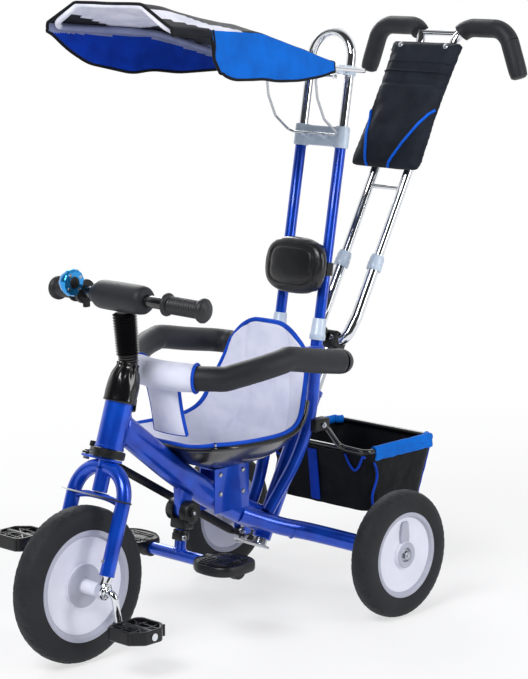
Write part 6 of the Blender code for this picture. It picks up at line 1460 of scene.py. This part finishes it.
def laid_on(points, count):
    """A line over the bag's front, at its swollen face."""
    line = []
    for x, s in [((1 - t) * points[k][0] + t * points[k + 1][0], (1 - t) * points[k][1] + t * points[k + 1][1])
                 for k in range(len(points) - 1) for t in [i / count for i in range(count)]] + [points[-1]]:
        hit = bag_face.ray_cast(bag_point(x, s, 0.05), -HANDLE_FWD)[0]
        if hit:
            line.append(hit + HANDLE_FWD * 0.0006)
    return line


tube(bm, laid_on([(0.0815, 0.812), (0.062, 0.795), (0.012, 0.692), (0.010, s0 + 0.004)], 16), 0.0026, 1, 10)
tube(bm, laid_on([(-0.0800, 0.815), (-0.066, 0.775), (-0.040, 0.700), (-0.036, s0 + 0.004)], 16), 0.0026, 1, 10)
flap_line = laid_on([(-0.083, 0.874), (0.083, 0.874)], 30)
tube(bm, [p + HANDLE_FWD * 0.0006 for p in flap_line], 0.0016, 0, 8)
hem_line = laid_on([(-0.083, 0.893), (0.083, 0.893)], 30)
tube(bm, [p + HANDLE_FWD * 0.0003 for p in hem_line], 0.0008, 0, 8)
for snap in laid_on([(-0.052, 0.925), (0.052, 0.925)], 1):
    turned(bm, [(-0.001, 0.0052), (0.0010, 0.0050), (0.0018, 0.0034)], snap, HANDLE_FWD, 2, 22)
bag = piece("handle_pouch", bm, [bag_cloth, bag_piping, zinc], "push_handle_upper", ["handle_bag"], sharp=60)

# Canopy arch
# A chromed bow whose legs slide in the poles; moulded ears on it carry the hood's hinge.
leg = [pole(0.244 + 0.230 * i / 4, 0.0455) for i in range(5)]
crown_arc = [pole(0.474, 0) + SIDE * (0.0455 * cos(pi * i / 24)) + POLE_DIR * (0.0455 * sin(pi * i / 24))
             for i in range(1, 24)]
bm = bmesh.new()
tube(bm, leg + crown_arc + [Vector((-p.x, p.y, p.z)) for p in reversed(leg)], 0.0078, 0, 28)
piece("canopy_arch_tube", bm, [chrome], "canopy_arch", ["canopy_arch"])

# Canopy hood and bow
# Polyester sewn over a chromed wire bow: a raised hoop in front, a long flap down the left, a crescent down the
# right and a pale lining under the front; black tape binds every edge.
hood_axis = pole(0.454, 0, 0.0130)
LENGTH = 0.497
SLOPE = [(0.0, 0.0), (0.090, 0.010), (0.134, 0.024), (0.286, 0.067), (0.497, 0.083), (0.520, 0.083)]
CRESCENT = [(0.0, 0.004), (0.09, 0.010), (0.13, 0.022), (0.23, 0.052), (0.33, 0.068), (0.42, 0.055), (0.46, 0.035),
            (0.497, 0.006), (0.520, 0.004)]
FLAP = [(0.0, 0.004), (0.095, 0.006), (0.130, 0.024), (0.190, 0.045), (0.250, 0.060), (0.300, 0.066), (0.360, 0.068),
        (0.390, 0.058), (0.405, 0.036), (0.408, 0.004), (0.520, 0.004)]
CROWN = [(0.0, 0.004), (0.180, 0.004), (0.250, 0.007), (0.345, 0.015), (0.405, 0.022), (0.465, 0.0330),
         (0.520, 0.0345)]


def reading(table, d):
    for (d0, v0), (d1, v1) in zip(table, table[1:]):
        if d <= d1:
            return v0 + (v1 - v0) * (d - d0) / (d1 - d0)
    return table[-1][1]


def gentle(table, d):
    """A table's reading with its corners eased."""
    return sum(reading(table, max(d + k * 0.006, 0.0)) for k in (-2, -1, 0, 1, 2)) / 5


def hood_point(x, d, rise=0.0):
    return hood_axis + Vector((x, -d, gentle(SLOPE, d) + rise))


def side_at(d):
    return 0.100 + 0.034 * min(max(d - 0.09, 0.0) / 0.407, 1.0)


half = [(0.002, 0, 0), (0.100, 0, 0), (side_at(0.090), 0.090, 0), (side_at(0.134), 0.134, 0),
        (side_at(0.286), 0.286, 0),
        (0.134, LENGTH, 0), (0.0725, LENGTH, 0.037)]
half = [hood_axis + Vector((x, -d, reading(SLOPE, d) + rise)) for x, d, rise in half]
bow_path = rounded(half + [Vector((-p.x, p.y, p.z)) for p in reversed(half)], 0.022, 8)
hood_black = cloth("black_canopy_polyester", "#1B1F27", "#12151A", 0.62, 560.0, 0.3)
lining = cloth("pale_lining_taffeta", "#E4E5F0", "#C6C8D8", 0.55, 560.0, 0.3)
grey_band = cloth("grey_lilac_lining", "#8C93B4", "#7A82A6", 0.6, 560.0, 0.3)
bm = bmesh.new()
tube(bm, bow_path, 0.0040, 0, 16)
sleeved = [p for p in bow_path if p.y < hood_axis.y - 0.100]
for part, kind in (([p for p in sleeved if p.x > 0 and p.y > hood_axis.y - 0.490], 1),
                   ([p for p in sleeved if p.y < hood_axis.y - 0.480], 2),
                   ([p for p in sleeved if p.x < 0 and p.y > hood_axis.y - 0.490], 3)):
    tube(bm, part, 0.0049, kind, 16)
for sign in (1, -1):
    block(bm, (0.0030, 0.009, 0.0190),
          hood_axis + Vector((sign * side_at(0.086), -0.086, reading(SLOPE, 0.086) - 0.0085)),
          SIDE, UP, 0.0008)
piece("canopy_bow_wire", bm, [chrome, hood_black, lining, grey_band], "canopy", ["canopy_bow"])

hood_royal = cloth("royal_blue_canopy_polyester", "#0038B0", "#002C90", 0.60, 560.0, 0.25)
hood_light = cloth("light_blue_canopy_polyester", "#0069D2", "#005CBC", 0.58, 560.0, 0.0)
edge_tape = cloth("black_edge_tape", "#16181D", "#0E0F12", 0.65, 900.0, 0.2)

ACROSS = 84
ALONG = 84


def hood_place(i, j, off):
    """i runs from the rear (0) to the front (1), j from the left hem (0) over the crown to the right hem (1)."""
    d = 0.097 + (LENGTH + 0.004 - 0.097) * i
    half = side_at(d) + 0.0065
    flap = reading(FLAP, d) if d > 0.385 else gentle(FLAP, d)
    crescent = gentle(CRESCENT, d)
    rise = gentle(CROWN, d)
    belly = 0.0022 * sin(pi * min(max((d - 0.10) / 0.39, 0.0), 1.0))
    ripple = 0.0012 * noise.noise(Vector((d * 26, j * 9, 5.0)))
    if j < 0.24:
        t = j / 0.24
        x, up, out = half + 0.002 - 0.002 * t, -flap + (flap + 0.007) * t, Vector((1, 0, 0.05))
        x += belly * sin(pi * t)
    elif j > 0.76:
        t = (1 - j) / 0.24
        x, up, out = -half - 0.002 + 0.002 * t, -crescent + (crescent + 0.007) * t, Vector((-1, 0, 0.05))
        x -= belly * sin(pi * t)
    else:
        w = (0.5 - j) / 0.26
        a = abs(w)
        knee = 0.0725 / 0.134
        if a < knee:
            up = 0.0065 + rise - 0.0030 * sin(pi * min(max((d - 0.12) / 0.37, 0), 1)) * (1 - (a / knee) ** 2)
            lean = 0.0
        else:
            t = (a - knee) / (1 - knee)
            up = 0.0065 + rise * (1 - t) ** 1.05 + 0.0005 * t
            lean = min(rise / 0.06, 0.6)
        x = half * w
        out = Vector((lean * (1 if w > 0 else -1), 0, 1))
    out.normalize()
    return hood_point(x, d, up) + out * (off + ripple)


def hood_outside(i, j):
    d = 0.097 + 0.404 * i
    if j < 0.235:
        return 2 if d < 0.405 else 0
    if j > 0.765:
        return 1
    if d > 0.330 and j < 0.245 + 0.085 * min((d - 0.330) / 0.10,
                                             1.0) + 0.012 * noise.noise(Vector((d * 40, 0.3, 0.1))):
        return 3
    return 0


bm = bmesh.new()
shell(bm, hood_place, ALONG, ACROSS, lambda i, j: -0.0013, lambda i, j: 0.0013, hood_outside, 3)
for face in bm.faces:
    centre = face.calc_center_median()
    if face.material_index != 3:
        continue
    d = -(centre.y - hood_axis.y)
    rel = centre.z - hood_axis.z - gentle(SLOPE, d)
    jagged = 0.060 * noise.noise(Vector((centre.x * 14, 0.2, 0.7))) + 0.030 * noise.noise(Vector((centre.x * 40, 1.2,
                                                                                                  0)))
    if rel < -0.009 and centre.x < 0:
        face.material_index = 1
    elif rel < 0.006 and centre.x < 0:
        face.material_index = 5
    elif rel < 0.004 and centre.x > 0:
        face.material_index = 2
    elif rel < 0.022 - 0.050 * (0.497 - d) / 0.3 + jagged * 0.12 or d < 0.300 + jagged * 0.5:
        face.material_index = 0
hem = [hood_place(i / 120, 0.0, 0.0) for i in range(121)]
tube(bm, hem, 0.0026, 4, 10)
hem = [hood_place(i / 120, 1.0, 0.0) for i in range(121)]
tube(bm, hem, 0.0026, 4, 10)
hem = [hood_place(1.0, j / 90, 0.0) for j in range(91)]
tube(bm, hem, 0.0026, 4, 10)
hem = [hood_place(0.0, j / 60, 0.0) for j in range(61)]
tube(bm, hem, 0.0022, 4, 10)
hem = [hood_place((0.4055 - 0.097) / 0.404, 0.24 * j / 20, 0.0008) for j in range(21)]
tube(bm, hem, 0.0026, 4, 10)
hood_cloth = piece("canopy_cloth", bm, [hood_black, hood_royal, hood_light, lining, edge_tape, grey_band], "canopy",
                   ["canopy_hood"], sharp=70)

# Canopy stay
# A bent steel wire that hooks over the clamp's front and holds the hood's tabs.
stay_top = hood_axis + Vector((0, -0.086, reading(SLOPE, 0.086) - 0.0135))
top = stay_top + SIDE * 0.056
foot = stay_foot + SIDE * 0.056
fall = foot - top
wire = [stay_top + SIDE * (side_at(0.086) + 0.0030), top]
wire += [top + Vector((0, fall.y * a, fall.z * b)) for a, b in ((0.09, 0.38), (0.38, 0.72))] + [foot]
bm = bmesh.new()
tube(bm, rounded(wire + [Vector((-p.x, p.y, p.z)) for p in reversed(wire)], 0.012, 8), 0.0022, 0, 16)
piece("canopy_stay_wire", bm, [zinc], "canopy_stay", ["canopy_stay"])
